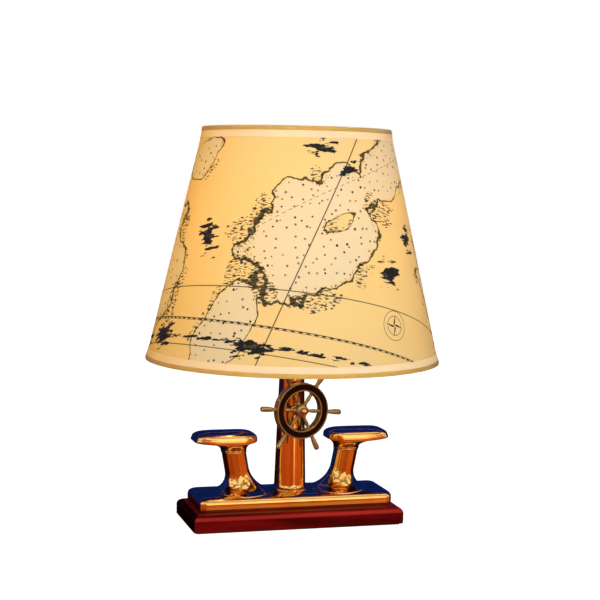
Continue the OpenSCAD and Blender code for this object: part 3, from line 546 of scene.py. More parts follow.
def net(field, low, high, step):
    """A closed mesh where the field is 0: one point in each cell that the surface crosses."""
    axes = [np.arange(a, b + step, step) for a, b in zip(low, high)]
    grid = np.stack(np.meshgrid(*axes, indexing="ij"), -1)
    value = field(grid)
    inside = value < 0
    shape = tuple(n - 1 for n in value.shape)
    corners = [(i, j, k) for i in (0, 1) for j in (0, 1) for k in (0, 1)]
    cut = lambda a, c: a[c[0]:c[0] + shape[0], c[1]:c[1] + shape[1], c[2]:c[2] + shape[2]]
    filled = sum(cut(inside, c).astype(int) for c in corners)
    live = np.argwhere((filled > 0) & (filled < 8))
    total, hits = np.zeros((len(live), 3)), np.zeros((len(live), 1))
    for a in corners:
        for axis in range(3):
            if a[axis]:
                continue
            b = tuple(c + (n == axis) for n, c in enumerate(a))
            ia, ib = live + a, live + b
            va, vb = value[tuple(ia.T)], value[tuple(ib.T)]
            crossed = (va < 0) != (vb < 0)
            t = np.where(crossed, va / np.where(crossed, va - vb, 1), 0)[:, None]
            spot = ia + (ib - ia) * t
            total += spot * crossed[:, None]
            hits += crossed[:, None]
    points = np.array([a[0] for a in axes]) + total / hits * step
    number = -np.ones(shape, int)
    number[tuple(live.T)] = np.arange(len(live))
    faces = []
    for axis in range(3):
        u, v = (axis + 1) % 3, (axis + 2) % 3
        here = [slice(1, -1)] * 3
        here[axis] = slice(0, -1)
        there = list(here)
        there[axis] = slice(1, None)
        first, second = inside[tuple(here)], inside[tuple(there)]
        spots = np.argwhere(first != second)
        solid_first = first[tuple(spots.T)]
        offset = np.ones(3, int)
        offset[axis] = 0
        cell = spots + offset
        step_u, step_v = np.eye(3, dtype=int)[u], np.eye(3, dtype=int)[v]
        quad = [number[tuple((cell - d).T)] for d in (step_u + step_v, step_v, 0 * step_u, step_u)]
        quad = np.stack(quad, -1)
        quad[~solid_first] = quad[~solid_first][:, ::-1]
        faces.append(quad)
    return points, np.concatenate(faces)


def slope(field, points, reach=0.05):
    """Gradient of the field at points."""
    parts = []
    for axis in range(3):
        d = np.zeros(3)
        d[axis] = reach
        parts.append((field(points + d) - field(points - d)) / (2 * reach))
    return np.stack(parts, -1)


def settle(field, points, rounds=4, most=0.4):
    """Moves points onto the surface of the field."""
    for _ in range(rounds):
        way = slope(field, points)
        size = np.maximum((way ** 2).sum(-1, keepdims=True), 1e-6)
        move = -field(points)[:, None] * way / size
        length = np.linalg.norm(move, axis=-1, keepdims=True)
        points = points + move * np.minimum(1, most / np.maximum(length, 1e-9))
    return points


def polished(name, hue_low, hue_high, smear=0.05, rough=0.07):
    """Lacquered brass: a warm mirror with faint smears, fine scratches and a darker bloom in places."""
    metal = Finish(name, Metallic=1.0, Specular_Tint=(0.88, 0.66, 0.46))
    bloom = metal.noise(34, 4, 0.6)
    smears = metal.noise(95, 5, 0.65, stretch=(1, 1, 0.45))
    hairlines = metal.noise(1500, 2, 0.5, stretch=(1, 0.06, 0.5)) * 0.5 + metal.noise(1300, 2, 0.5, stretch=(0.06, 1, 0.4)) * 0.5
    metal.set("Base_Color", metal.shade(metal.ease(bloom, 0.3, 0.7), hue_low, hue_high))
    metal.set("Roughness", rough + metal.ease(smears, 0.45, 0.75) * smear + metal.ease(hairlines, 0.5, 0.62) * 0.03)
    metal.relief(metal.noise(28, 2, 0.4) * 1.0 + hairlines * 0.03, 0.00035, 0.25)
    return metal


cast_brass = polished("cast_brass", (0.78, 0.46, 0.155), (0.90, 0.58, 0.235))
grid_step = 0.8
low_corner = (-88, -30, plinth_top - 3)
high_corner = (88, 30, neck_z + 2)
cast_points, cast_faces = net(casting_field, low_corner, high_corner, grid_step)
cast_points = settle(casting_field, cast_points)
casting_mesh = bpy.data.meshes.new("polished_casting")
casting_mesh.from_pydata(cast_points.tolist(), [], cast_faces.tolist())
work = bmesh.new()
work.from_mesh(casting_mesh)
trim = bmesh.ops.bisect_plane(work, geom=work.verts[:] + work.edges[:] + work.faces[:], dist=1e-4,
                              plane_co=(0, 0, plinth_top), plane_no=(0, 0, -1), clear_outer=True)
rim = [e for e in trim["geom_cut"] if isinstance(e, bmesh.types.BMEdge)]
bmesh.ops.edgeloop_fill(work, edges=rim)
bmesh.ops.recalc_face_normals(work, faces=work.faces)
work.to_mesh(casting_mesh)
work.free()
casting_mesh.shade_smooth()
spots = np.array([v.co for v in casting_mesh.vertices], float)
true_normals = slope(casting_field, spots, 0.15)
true_normals /= np.maximum(np.linalg.norm(true_normals, axis=-1, keepdims=True), 1e-9)
loop_normals = []
for face in casting_mesh.polygons:
    flat = abs(face.normal.z) > 0.999 and (face.center.z < plinth_top + 0.1 or face.center.z > neck_z - 0.3)
    for v in face.vertices:
        loop_normals.append(tuple(face.normal) if flat else tuple(true_normals[v]))
casting_mesh.normals_split_custom_set(loop_normals)
casting_mesh.transform(Matrix.Scale(mm, 4))
casting_mesh.materials.append(cast_brass.material)
casting = bpy.data.objects.new("polished_casting", casting_mesh)
scene.collection.objects.link(casting)
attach(casting, "base")
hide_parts("bollard_base")

# Neck rings and column seat. Small turned steps on the casting: a bead at each post's top, and the
# flat seat that the column stands on.
bead_mid, bead_half, bead_out = neck_z - 0.8, 0.8, 0.75


def bead_line(radius, middle, half, out, inside):
    """Section of a ring with a half-round bead outside."""
    line = [(inside, middle - half)]
    for step in range(13):
        a = math.pi * (step / 12 - 0.5)
        line.append((radius + out * math.cos(a), middle + half * math.sin(a)))
    return [(r * mm, z * mm) for r, z in line + [(inside, middle + half)]]


bead_parts = []
for way in (-1, 1):
    spot = Matrix.Translation((way * (post_x - 0.8 * post_lean) * mm, 0, 0))
    bead_parts.append(turn(bead_line(post_r - 0.2, bead_mid, bead_half, bead_out, post_r - 2), 96, spot, True))
seat_line = soft_line([(6.5 * mm, 26 * mm), (16.6 * mm, 26 * mm), (16.6 * mm, 28.9 * mm), (6.5 * mm, 28.9 * mm)], 0.25 * mm)
bead_parts.append(turn(seat_line, 128, None, True))
piece("neck_rings_and_seat", joined(*bead_parts), cast_brass, "base", [], 50)

# Bollard heads. Two horned brass caps, studded on the necks: a hollow sweep below, a blunt edge and a
# crowned top, longer outwards than towards the column.
head_out, head_in, head_half = 36.0, 19.4, 15.5
head_under, head_edge, head_crown, tip_lift = 6.6, 5.0, 6.0, 2.2
crown_squareness = 2.3
neck_r = post_r + 0.7
around_head = 160


def head_ring(full, z, lift):
    """One outline of a head: the neck's circle at full 0, the whole outline at 1."""
    ring = []
    for j in range(around_head):
        a = 2 * math.pi * j / around_head
        c, s = math.cos(a), math.sin(a)
        power = 0.36 if c > 0 else 0.56
        reach = math.copysign(abs(c) ** power, c)
        x = (head_out if c > 0 else head_in) * reach
        y = head_half * math.copysign(abs(s) ** power, s)
        ring.append((neck_r * c + (x - neck_r * c) * full, neck_r * s + (y - neck_r * s) * full, z + lift * reach ** 2))
    return ring


brow = 0.03


def crown_ring(shrink, z):
    """The outline drawn in towards the ridge along the head's top."""
    middle = (head_out - head_in) / 2
    ridge = 0.35
    scale = ridge + (1 - ridge) * shrink
    return [(middle + (x - middle) * scale, y * shrink, z) for x, y, _ in head_ring(1 - brow, z, 0)]


low_z, high_z = neck_z + head_under, neck_z + head_under + head_edge
collar_top = neck_z + 1
head_rings = [[(r * math.cos(2 * math.pi * j / around_head), r * math.sin(2 * math.pi * j / around_head), z)
               for j in range(around_head)]
              for r, z in ((2, neck_z), (neck_r - 0.3, neck_z), (neck_r - 0.08, neck_z + 0.15), (neck_r, neck_z + 0.5),
                           (neck_r - 0.08, neck_z + 0.85), (neck_r - 0.3, collar_top))]
chin = 0.94
for step in range(1, 15):
    t = math.pi / 2 * step / 14
    out = 1 - math.cos(t)
    head_rings.append(head_ring(chin * out, collar_top + (low_z - collar_top) * math.sin(t), tip_lift * out))
for step in range(1, 6):
    t = math.pi / 2 * step / 6
    head_rings.append(head_ring(chin + (1 - chin) * math.sin(t), low_z + 1.4 * (1 - math.cos(t)), tip_lift))
for step in range(9):
    t = step / 8
    z = low_z + 1.4 + (head_edge - 1.4) * t
    head_rings.append(head_ring(1 - brow * t * t, z, tip_lift * (1 - t)))
for step in range(1, 33):
    t = math.pi / 2 * step / 32 * 0.995
    head_rings.append(crown_ring(math.cos(t) ** (2 / crown_squareness),
                                 high_z + head_crown * math.sin(t) ** (2 / crown_squareness)))
for name, way, stands_for in (("left_head", -1, "left_bollard_head"), ("right_head", 1, "right_bollard_head")):
    rings = [[((post_x + x) * way * mm, y * mm, z * mm) for x, y, z in ring] for ring in head_rings]
    piece(name, loft(rings), cast_brass, "base", [stands_for], 60)

# Column. A tapered brass tube, turned and polished, with a small hollow sweep at its foot.
turned_brass = polished("turned_brass", (0.80, 0.48, 0.165), (0.90, 0.58, 0.24), smear=0.04, rough=0.06)
seat_z, column_top = 28.9, 150.0
foot_r, foot_spread, top_r, tube_wall = 13.7, 2.4, 10.1, 1.2
rim_top, sweep_high = seat_z + 0.7, 3.6


def column_r(z):
    return foot_r - (foot_r - top_r) * (z - seat_z) / (column_top - seat_z)


column_line = [(column_r(seat_z) - 4, seat_z), (foot_r + foot_spread - 0.25, seat_z),
               (foot_r + foot_spread, seat_z + 0.25), (foot_r + foot_spread, rim_top - 0.2),
               (foot_r + foot_spread - 0.2, rim_top)]
for step in range(1, 13):
    t = math.pi / 2 * step / 12
    z = rim_top + sweep_high * (1 - math.cos(t))
    r = foot_r + foot_spread - 0.2 + (column_r(rim_top + sweep_high) - foot_r - foot_spread + 0.2) * math.sin(t)
    column_line.append((r, z))
for step in range(1, 25):
    z = rim_top + sweep_high + (column_top - rim_top - sweep_high) * step / 24
    column_line.append((column_r(z), z))
column_line += [(top_r - tube_wall, column_top), (top_r - tube_wall, seat_z + 20)]
column_line = [(r * mm, z * mm) for r, z in column_line]
piece("turned_column", turn(column_line, 160, None, True), turned_brass, "base", ["column"], 30)

# Column cap. A turned brass collar with a cove, which closes the tube and carries the lampholder.
cap_z, cap_high, cap_out = 150.0, 5.0, 2.4
cap_line = soft_line([(5.1, cap_z - 4), (8.8, cap_z - 4), (8.8, cap_z), (top_r + cap_out, cap_z),
                      (top_r + cap_out, cap_z + 1.9), (top_r + 0.9, cap_z + 2.4), (top_r - 0.2, cap_z + 3.4),
                      (top_r - 1.5, cap_z + cap_high), (5.1, cap_z + cap_high)], 0.45)
cap_line = [(r * mm, z * mm) for r, z in cap_line]
piece("turned_column_cap", turn(cap_line, 96, None, True), turned_brass, "base", ["column_cap"], 40)

# Steering wheel. A turned brass rim with a dark enamelled band let into each face, six turned spokes
# that run on into handles, and a hub that spins on a pin through the column.
wheel_turn = math.radians(9.9)
wheel_mid = Vector((19.5 * mm * math.sin(wheel_turn), -19.5 * mm * math.cos(wheel_turn), 98.6 * mm))
wheel_place = Matrix.Translation(wheel_mid) @ Matrix.Rotation(wheel_turn, 4, "Z") @ Matrix.Rotation(math.pi / 2, 4, "X")
rim_r, rim_in, rim_half, band_edge, band_deep = 23.9, 17.1, 4.0, 1.1, 0.8
ease = 0.55
rim_line = []
for r, z, d in ((rim_in, -rim_half, 1), (rim_r, -rim_half, 2), (rim_r, rim_half, 3), (rim_in, rim_half, 4)):
    rim_line.append((r, z))
band_in, band_out = rim_in + band_edge, rim_r - band_edge
rim_line = soft_line([(rim_in, 0), (rim_in, -rim_half), (band_in, -rim_half), (band_in, -rim_half + band_deep),
                      (band_out, -rim_half + band_deep), (band_out, -rim_half), (rim_r, -rim_half),
                      (rim_r + 0.0, 0), (rim_r, rim_half), (band_out, rim_half), (band_out, rim_half - band_deep),
                      (band_in, rim_half - band_deep), (band_in, rim_half), (rim_in, rim_half), (rim_in, 0)],
                     0.32)[:-1]
rim_line = [(r * mm, z * mm) for r, z in rim_line]
satin_brass = polished("satin_brass", (0.30, 0.21, 0.075), (0.52, 0.38, 0.15), smear=0.08, rough=0.10)
satin_brass.set("Metallic", 0.72)
piece("wheel_rim_turned", turn(rim_line, 160, wheel_place, True), satin_brass, "wheel", ["wheel_rim"], 50)

dark_enamel = Finish("dark_enamel", Specular_IOR_Level=0.1)
cloud = dark_enamel.noise(160, 4, 0.6)
dark_enamel.set("Base_Color", dark_enamel.shade(cloud, (0.003, 0.001, 0.001), (0.011, 0.003, 0.002)))
dark_enamel.set("Roughness", 0.3 + cloud * 0.2)
dark_enamel.relief(dark_enamel.noise(700, 2), 0.00003)
band_parts = []
for way in (-1, 1):
    face = way * (rim_half - 0.1)
    floor_z = way * (rim_half - band_deep)
    dome = [(band_in + 0.03 + (band_out - band_in - 0.06) * s / 8, face + way * 0.09 * math.sin(math.pi * s / 8)) for s in range(9)]
    line = [(band_in + 0.03, floor_z)] + dome + [(band_out - 0.03, floor_z)]
    band_parts.append(turn([(r * mm, z * mm) for r, z in line], 160, wheel_place, True))
piece("wheel_dark_bands", joined(*band_parts), dark_enamel, "wheel", ["wheel_inlays"], 40)

hub_line = [(1.8, -4.3), (5.0, -4.3), (5.35, -4.2), (5.6, -3.8), (5.6, -3.2), (5.25, -2.9), (5.25, -2.5), (5.6, -2.2),
            (5.6, 1.7)]
for step in range(1, 11):
    t = math.pi / 2 * step / 10
    hub_line.append((3.2 + 2.4 * math.cos(t), 1.7 + 2.6 * math.sin(t)))
hub_line += [(1.8, 4.3)]
hub_line = [(r * mm, z * mm) for r, z in hub_line]
piece("wheel_hub_turned", turn(hub_line, 96, wheel_place, True), satin_brass, "wheel", ["wheel_hub"], 40)


class Grower:
    """A Geometry Nodes tree with named inputs, which ends in Realize Instances and Set Material."""

    def __init__(self, name):
        self.tree = bpy.data.node_groups.new(name, "GeometryNodeTree")
        self.tree.interface.new_socket("Geometry", in_out="INPUT", socket_type="NodeSocketGeometry")
        self.tree.interface.new_socket("Geometry", in_out="OUTPUT", socket_type="NodeSocketGeometry")
        self.start = self.tree.nodes.new("NodeGroupInput")
        self.stop = self.tree.nodes.new("NodeGroupOutput")

    def size(self, name, kind="NodeSocketFloat"):
        self.tree.interface.new_socket(name, in_out="INPUT", socket_type=kind)
        return self.start.outputs[name]

    def node(self, kind, settings=None, inputs=None, output=0):
        node = self.tree.nodes.new(kind)
        for name, value in (settings or {}).items():
            setattr(node, name, value)
        for name, value in (inputs or {}).items():
            if isinstance(value, bpy.types.NodeSocket):
                self.tree.links.new(value, node.inputs[name])
            else:
                node.inputs[name].default_value = value
        return node.outputs[output]

    def close(self, instances, finish):
        real = self.node("GeometryNodeRealizeInstances", inputs={0: instances})
        coated = self.node("GeometryNodeSetMaterial", inputs={0: real, "Material": finish.material})
        self.tree.links.new(coated, self.stop.inputs[0])

    def grow(self, shape, **sizes):
        """Runs the tree on a shape and gives the plain mesh that comes out."""
        seed = bpy.data.meshes.new("seed")
        seed.from_pydata([tuple(p) for p in shape[0]], [], shape[1])
        work = bmesh.new()
        work.from_mesh(seed)
        bmesh.ops.remove_doubles(work, verts=work.verts, dist=1e-7)
        bmesh.ops.recalc_face_normals(work, faces=work.faces)
        work.to_mesh(seed)
        work.free()
        seed.shade_smooth()
        seed.set_sharp_from_angle(angle=math.radians(45))
        holder = bpy.data.objects.new("seed", seed)
        scene.collection.objects.link(holder)
        step = holder.modifiers.new("grow", "NODES")
        step.node_group = self.tree
        for item in self.tree.interface.items_tree:
            if item.in_out == "INPUT" and item.name.replace(" ", "_").lower() in sizes:
                step[item.identifier] = sizes[item.name.replace(" ", "_").lower()]
        holder.update_tag()
        graph = bpy.context.evaluated_depsgraph_get()
        made = bpy.data.meshes.new_from_object(holder.evaluated_get(graph))
        holder.modifiers.remove(step)
        bpy.data.objects.remove(holder)
        bpy.data.meshes.remove(seed)
        return made


def ring_tree(name, finish):
    """Sets a shape round the Z axis: how many, and the turn of the first."""
    tree = Grower(name)
    count = tree.size("Count", "NodeSocketInt")
    first = tree.size("First turn")
    spots = tree.node("GeometryNodeMeshLine", inputs={"Count": count, "Offset": (0, 0, 0)})
    each = tree.node("GeometryNodeInputIndex")
    share = tree.node("ShaderNodeMath", {"operation": "DIVIDE"}, {0: math.tau, 1: count})
    angle = tree.node("ShaderNodeMath", {"operation": "MULTIPLY_ADD"}, {0: each, 1: share, 2: first})
    turn_by = tree.node("ShaderNodeCombineXYZ", inputs={2: angle})
    copies = tree.node("GeometryNodeInstanceOnPoints",
                       inputs={"Points": spots, "Instance": tree.start.outputs[0], "Rotation": turn_by})
    tree.close(copies, finish)
    return tree


def grown_piece(name, mesh, place, finish, body, stands_for):
    """Makes a piece of what a tree has grown."""
    mesh.name = name
    mesh.transform(place)
    mesh.materials.clear()
    mesh.materials.append(finish.material)
    made = bpy.data.objects.new(name, mesh)
    scene.collection.objects.link(made)
    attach(made, body)
    if stands_for:
        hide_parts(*stands_for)
    return made


spoke_r, hub_r, handle_tip = 1.9, 5.6, 38.0
spoke_line = soft_line([
    (0, 3.0), (1.3, 3.0), (1.3, hub_r - 0.3), (1.9, hub_r + 0.1), (2.05, hub_r + 0.7), (1.75, hub_r + 1.3), (1.25, hub_r + 1.7),
    (1.35, hub_r + 2.4), (1.72, 11.4), (1.72, 12.6), (1.3, rim_in - 2.2), (1.25, rim_in - 1.7), (1.85, rim_in - 1.2),
    (1.9, rim_in - 0.5), (1.6, rim_in + 1.2), (1.6, rim_r - 1), (1.9, rim_r + 0.3), (1.9, rim_r + 1.0), (1.58, rim_r + 1.7),
    (1.62, rim_r + 2.4), (2.0, 28.8), (2.28, 32.4), (2.28, 36.4), (2.05, 37.4), (1.3, 37.95), (0, handle_tip)], 0.5, 3)
spoke_line = [(r * mm, z * mm) for r, z in spoke_line]
along_x = Matrix.Rotation(math.pi / 2, 4, "Y")
spoke_seed = turn(spoke_line, 28, along_x)
spoke_tree = ring_tree("spokes_round_hub", satin_brass)
spokes = spoke_tree.grow(spoke_seed, count=6, first_turn=math.radians(-4.8))
grown_piece("wheel_spokes_turned", spokes, wheel_place, satin_brass, "wheel", ["wheel_spokes"])

# Wheel's pivot: a boss against the column, a steel washer and a domed brass nut in front.
clad("wheel_boss", turned_brass)
washer_z, nut_low = 4.35, 4.95
washer_line = soft_line([(1.79, washer_z), (3.3, washer_z), (3.3, nut_low), (1.79, nut_low)], 0.12)
washer_line = [(r * mm, z * mm) for r, z in washer_line]
piece("pivot_washer", turn(washer_line, 64, wheel_place, True), dull_steel, "base", ["wheel_washer"], 40)
dome_line = [(1.78, nut_low), (2.85, nut_low), (3.1, nut_low + 0.2), (3.1, nut_low + 0.7)]
for step in range(1, 12):
    t = math.pi / 2 * step / 11
    dome_line.append((3.1 * math.cos(t), nut_low + 0.7 + 3.1 * math.sin(t)))
dome_line[-1] = (0, nut_low + 3.8)
dome_line += [(0, nut_low + 2.43), (1.78, nut_low + 2.43), (1.78, nut_low)]
dome_line = [(r * mm, z * mm) for r, z in dome_line]
piece("domed_nut", turn(dome_line, 64, wheel_place), turned_brass, "base", ["wheel_cap_nut"], 40)

# Lampholder. Black moulded cap and skirt with a turned thread outside, a glazed ceramic insert with
# brass contacts, and two milled rings that clamp the shade's plate.
holder_z, skirt_z, skirt_top, holder_r = 155.0, 171.0, 207.0, 19.7
holder_line = soft_line([
    (5.03, holder_z), (7.5, holder_z), (8.2, holder_z + 4), (14.7, holder_z + 6.4), (18.5, holder_z + 9.9),
    (19.3, holder_z + 12.8), (19.3, skirt_z), (17.3, skirt_z), (17.3, skirt_z - 2), (12.7, skirt_z - 2),
    (12.7, holder_z + 9), (5.03, holder_z + 9)], 0.6)
holder_line = [(r * mm, z * mm) for r, z in holder_line]
piece("moulded_holder_cap", turn(holder_line, 96, None, True), black_plastic, "base", ["lampholder_cap"], 40)
skirt_line = [(15.7, skirt_z), (19.5, skirt_z), (19.7, skirt_z + 0.2), (19.7, skirt_z + 3.8)]
for groove in range(15):
    z = skirt_z + 4 + groove * 2
    skirt_line += [(19.65, z), (19.12, z + 0.25), (19.12, z + 0.75), (19.65, z + 1.0), (19.7, z + 1.15), (19.7, z + 1.85)]
skirt_line += [(19.7, skirt_top - 0.5), (19.2, skirt_top), (14.6, skirt_top), (14.2, skirt_top - 0.4), (14.2, skirt_top - 2),
               (15.7, skirt_top - 2)]
skirt_line = [(r * mm, z * mm) for r, z in skirt_line]
piece("moulded_skirt", turn(skirt_line, 96, None, True), black_plastic, "base", ["lampholder_skirt"], 40)
glazed = Finish("glazed_ceramic", Roughness=0.18, Coat_Weight=0.6, Coat_Roughness=0.06)
specks = glazed.noise(900, 3)
glazed.set("Base_Color", glazed.shade(specks, (0.66, 0.62, 0.53), (0.84, 0.81, 0.74)))
glazed.relief(glazed.noise(300, 2), 0.00004)
clad("lampholder_insert", glazed)

plate_z, plate_thick, ring_high = 186.0, 2.0, 6.0
for name, node, low, up in (("lower_milled_ring", "lower_shade_ring", plate_z - ring_high, False),
                            ("upper_milled_ring", "upper_shade_ring", plate_z + plate_thick, True)):
    flange = (low, low + 2) if up else (low + ring_high - 2, low + ring_high)
    wall = (low, low + ring_high)
    if up:
        line = [(19.73, low), (26.7, low), (26.7, flange[1]), (22.6, flange[1] + 0.3), (22.4, wall[1]), (19.73, wall[1])]
    else:
        line = [(19.73, low), (22.4, low), (22.6, flange[0] - 0.3), (26.7, flange[0]), (26.7, flange[1]), (19.73, flange[1])]
    line = [(r * mm, z * mm) for r, z in soft_line(line, 0.4)]
    body_of_ring = turn(line, 96, None, True)
    grip_low = (flange[1] if up else low) * mm
    grip_high = (wall[1] if up else flange[0]) * mm
    rib = loft([[(22.2 * mm + 1.35 * mm * math.cos(a) * s, 1.0 * mm * math.sin(a) * s, z)
                 for a in (math.tau * k / 10 for k in range(10))]
                for z, s in ((grip_low + 0.05 * mm, 0.9), (grip_low + 0.3 * mm, 1.0), (grip_high - 0.3 * mm, 1.0),
                             (grip_high - 0.05 * mm, 0.8))])
    ribs = ring_tree(name + "_ribs", black_plastic).grow(rib, count=36, first_turn=0.0)
    ring_piece = piece(name, body_of_ring, black_plastic, "base", [node], 40)
    grown_piece(name + "_ribs", ribs, Matrix.Identity(4), black_plastic, "base", [])

# Bulb. A clear pear-shaped E27 bulb with a rolled cap, a glass stem and a filament held by two leads.
bulb_glass_finish = Finish("bulb_glass", Roughness=0.02, Transmission_Weight=1.0, IOR=1.45)
bulb_glass_finish.set("Base_Color", bulb_glass_finish.shade(bulb_glass_finish.noise(40, 2), (0.97, 0.95, 0.90), (1.0, 0.99, 0.96)))
bulb_r, bulb_mid, cap_top_z, glass_neck = 30.0, 256.5, 206.5, 12.0
outer, inner = [], []
for line, inset in ((outer, 0.0), (inner, 0.8)):
    line += [(glass_neck - inset, cap_top_z - 6 + inset), (glass_neck - inset, cap_top_z),
             (glass_neck + 1.6 - inset, (cap_top_z + bulb_mid - bulb_r * 0.79) / 2)]
    for step in range(33):
        a = math.radians(-52 + 142 * step / 32)
        line.append((max((bulb_r - inset) * math.cos(a), 0), bulb_mid + (bulb_r - inset) * math.sin(a)))
    line[-1] = (0, line[-1][1])
shell_line = [(r * mm, z * mm) for r, z in outer + inner[::-1]]
glass_shape = turn(shell_line, 96)
glass_count = len(glass_shape[0])
glass_shape[1].extend((j, (j + 1) % 96, glass_count - 96 + (j + 1) % 96, glass_count - 96 + j) for j in range(96))
bulb = piece("clear_bulb_glass", glass_shape, bulb_glass_finish, "bulb", ["bulb_glass"], 60)
bulb.visible_shadow = False
stem_glass = Finish("stem_glass", Roughness=0.05, Transmission_Weight=0.9, IOR=1.5)
stem_glass.set("Base_Color", stem_glass.shade(stem_glass.noise(300, 2), (0.86, 0.92, 0.92), (0.95, 0.98, 0.97)))
clad("bulb_stem", stem_glass)
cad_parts["bulb_stem"].visible_shadow = False
hot_wire = Finish("glowing_filament", Metallic=1.0, Roughness=0.4, Emission_Strength=6.0)
hot_wire.set("Base_Color", hot_wire.shade(hot_wire.noise(500), (0.5, 0.4, 0.3), (0.7, 0.6, 0.45)))
hot_wire.set("Emission_Color", (1.0, 0.62, 0.25))
clad("bulb_filament", hot_wire)
rolled = Finish("rolled_cap_metal", Metallic=1.0)
scuffs = rolled.noise(420, 4, 0.6)
rolled.set("Base_Color", rolled.shade(scuffs, (0.50, 0.49, 0.46), (0.78, 0.77, 0.74)))
rolled.set("Roughness", 0.22 + scuffs * 0.25)
clad("bulb_cap", rolled)
clad("bulb_tip", black_plastic)
warm_data = bpy.data.lights.new("bulb_light", "POINT")
warm_data.energy, warm_data.color, warm_data.shadow_soft_size = 0.5, (1.0, 0.56, 0.20), 0.02
warm_light = bpy.data.objects.new("bulb_light", warm_data)
warm_light.location = (0, 0, bulb_mid * mm)
warm_light.visible_glossy = False
scene.collection.objects.link(warm_light)

# Shade. Printed parchment board rolled to a cone and glued in a lapped seam at the back. The print is
# an invented coast in the way of old sea charts, with soundings, courses and a divided border.
shade_low, shade_high, shade_r_low, shade_r_high, board = 140.7, 337.3, 125.0, 79.2, 0.9
lean = (shade_r_low - shade_r_high) / (shade_high - shade_low)
lean_cos = 1 / math.hypot(1, lean)
half_cone_sin = lean * lean_cos
apex_z = (shade_low + shade_r_low / lean) * mm


def shade_r(z):
    return shade_r_low - (z - shade_low) * lean


chart = Finish("printed_parchment", Roughness=0.62, Specular_IOR_Level=0.2)
spot = chart.node("SeparateXYZ", inputs={0: chart.place})
round_it = chart.node("Math", {"operation": "ARCTAN2"}, {0: spot, 1: 0 - spot.also("Y")})
slant = (apex_z - spot.also("Z")) / lean_cos
sheet_x = slant * (round_it * half_cone_sin).sine()
sheet_y = 0.45 - slant * (round_it * half_cone_sin).cosine()
sheet = chart.node("CombineXYZ", inputs={0: sheet_x, 1: sheet_y})


def bay(x, y, wide, high, tilt=0.0):
    """Below 0 inside an oval of the sheet, above 0 outside it."""
    c, s = math.cos(tilt), math.sin(tilt)
    dx, dy = sheet_x - x * mm, sheet_y - y * mm
    along, across = (dx * c + dy * s) / (wide * mm), (dy * c - dx * s) / (high * mm)
    return (along * along + across * across).root() - 1


def wiggle():
    """The coast's wander."""
    inputs = {"Vector": sheet, "Scale": 24.0, "Detail": 5.0, "Roughness": 0.5}
    return chart.node("TexNoise", {"noise_dimensions": "2D"}, inputs)


wide_water = bay(-14, 10, 66, 44, 0.5).least(bay(-92, -58, 46, 22, 0.95)).least(bay(74, 80, 44, 26, 0.6))
wide_water = wide_water.least(bay(180, 0, 66, 56)).least(bay(-205, 20, 70, 60, 0.4)).least(bay(-120, 92, 30, 16, 0.1))
wide_water = wide_water.least(bay(276, 128, 46, 26, 0.9)).least(bay(-300, 92, 58, 22, -0.7)).least(bay(-232, 152, 24, 12, -0.4))
island = bay(12, 24, 12, 6, 0.5)
water = wide_water.most(0 - island * 0.5)
coast = water + (wiggle() - 0.5) * 1.05
shore_line = chart.ease(abs(coast), 0.030, 0.017)
pale_sea, amber_land = (0.765, 0.745, 0.60), (0.84, 0.68, 0.34)
aged = chart.noise(22, 4, 0.6)
toned_land = chart.shade(chart.ease(aged, 0.3, 0.75), amber_land, (0.84, 0.70, 0.38))
toned_sea = chart.shade(chart.ease(aged, 0.3, 0.75), pale_sea, (0.755, 0.72, 0.575))
ground = chart.shade(chart.ease(coast, 0.02, -0.12), toned_land, toned_sea)
fibre = chart.noise(1400, 4, 0.7)
ground = chart.shade(chart.ease(fibre, 0.55, 0.8) * 0.2, ground, (0.66, 0.42, 0.18))
cell = chart.node("TexVoronoi", {"voronoi_dimensions": "2D"}, {"Vector": sheet, "Scale": 128.0, "Randomness": 0.9})
cell_tint = chart.node("SeparateColor", inputs={0: cell.also("Color")})
dot_size = cell_tint * 0.06 + 0.085
sounding = chart.ease(cell - dot_size, 0.012, -0.012) * (cell_tint.also(1) > 0.12) * (coast < -0.05)
sounding = sounding * (0.7 + cell_tint.also(2) * 0.3)
fine_cell = chart.node("TexVoronoi", {"voronoi_dimensions": "2D"}, {"Vector": sheet, "Scale": 420.0, "Randomness": 1.0})
sand = chart.ease(abs(coast + 0.05), 0.08, 0.03) * (chart.noise(30, 2, at=sheet) > 0.53)
sand_dots = (fine_cell < 0.19) * (sand > 0.5)
slanted = chart.node("Mapping", inputs={"Vector": sheet, "Rotation": (0, 0, math.radians(-17)), "Scale": (1, 3.4, 1)})


def scrawl(scale, detail=2.0):
    """Short pen strokes that lie along one slant."""
    inputs = {"Vector": slanted, "Scale": scale, "Detail": detail, "Roughness": 0.55}
    return chart.node("TexNoise", {"noise_dimensions": "2D"}, inputs)


strokes, ragged = scrawl(230.0), scrawl(75.0, 4.0)
clumps = chart.node("TexNoise", {"noise_dimensions": "2D"}, {"Vector": sheet, "Scale": 21.0, "Detail": 1.5, "Roughness": 0.5})
near_shore = chart.ease(abs(coast - 0.09), 0.26, 0.12)
names = (strokes > 0.56) * (clumps * near_shore > 0.52)


def blot(x, y, wide, high, tilt):
    """A patch of solid ink with a ragged edge."""
    return bay(x, y, wide, high, tilt) + (ragged - 0.5) * 5.0 < 0


blots = blot(56, -16, 10, 7, 0.5).most(blot(-4, 84, 11, 5, 0.2)).most(blot(-104, 22, 7, 12, 0.2))
blots = blots.most(blot(-66, -74, 13, 5, -0.3)).most(blot(20, 66, 6, 4, 0.4)).most(blot(88, 16, 6, 9, 0.4))
blots = blots.most(blot(150, -60, 14, 8, 0.3)).most(blot(-160, -50, 12, 9, 0.5)).most(blot(-262, 84, 12, 8, 0.1)).most(blot(262, 52, 13, 7, 0.8))


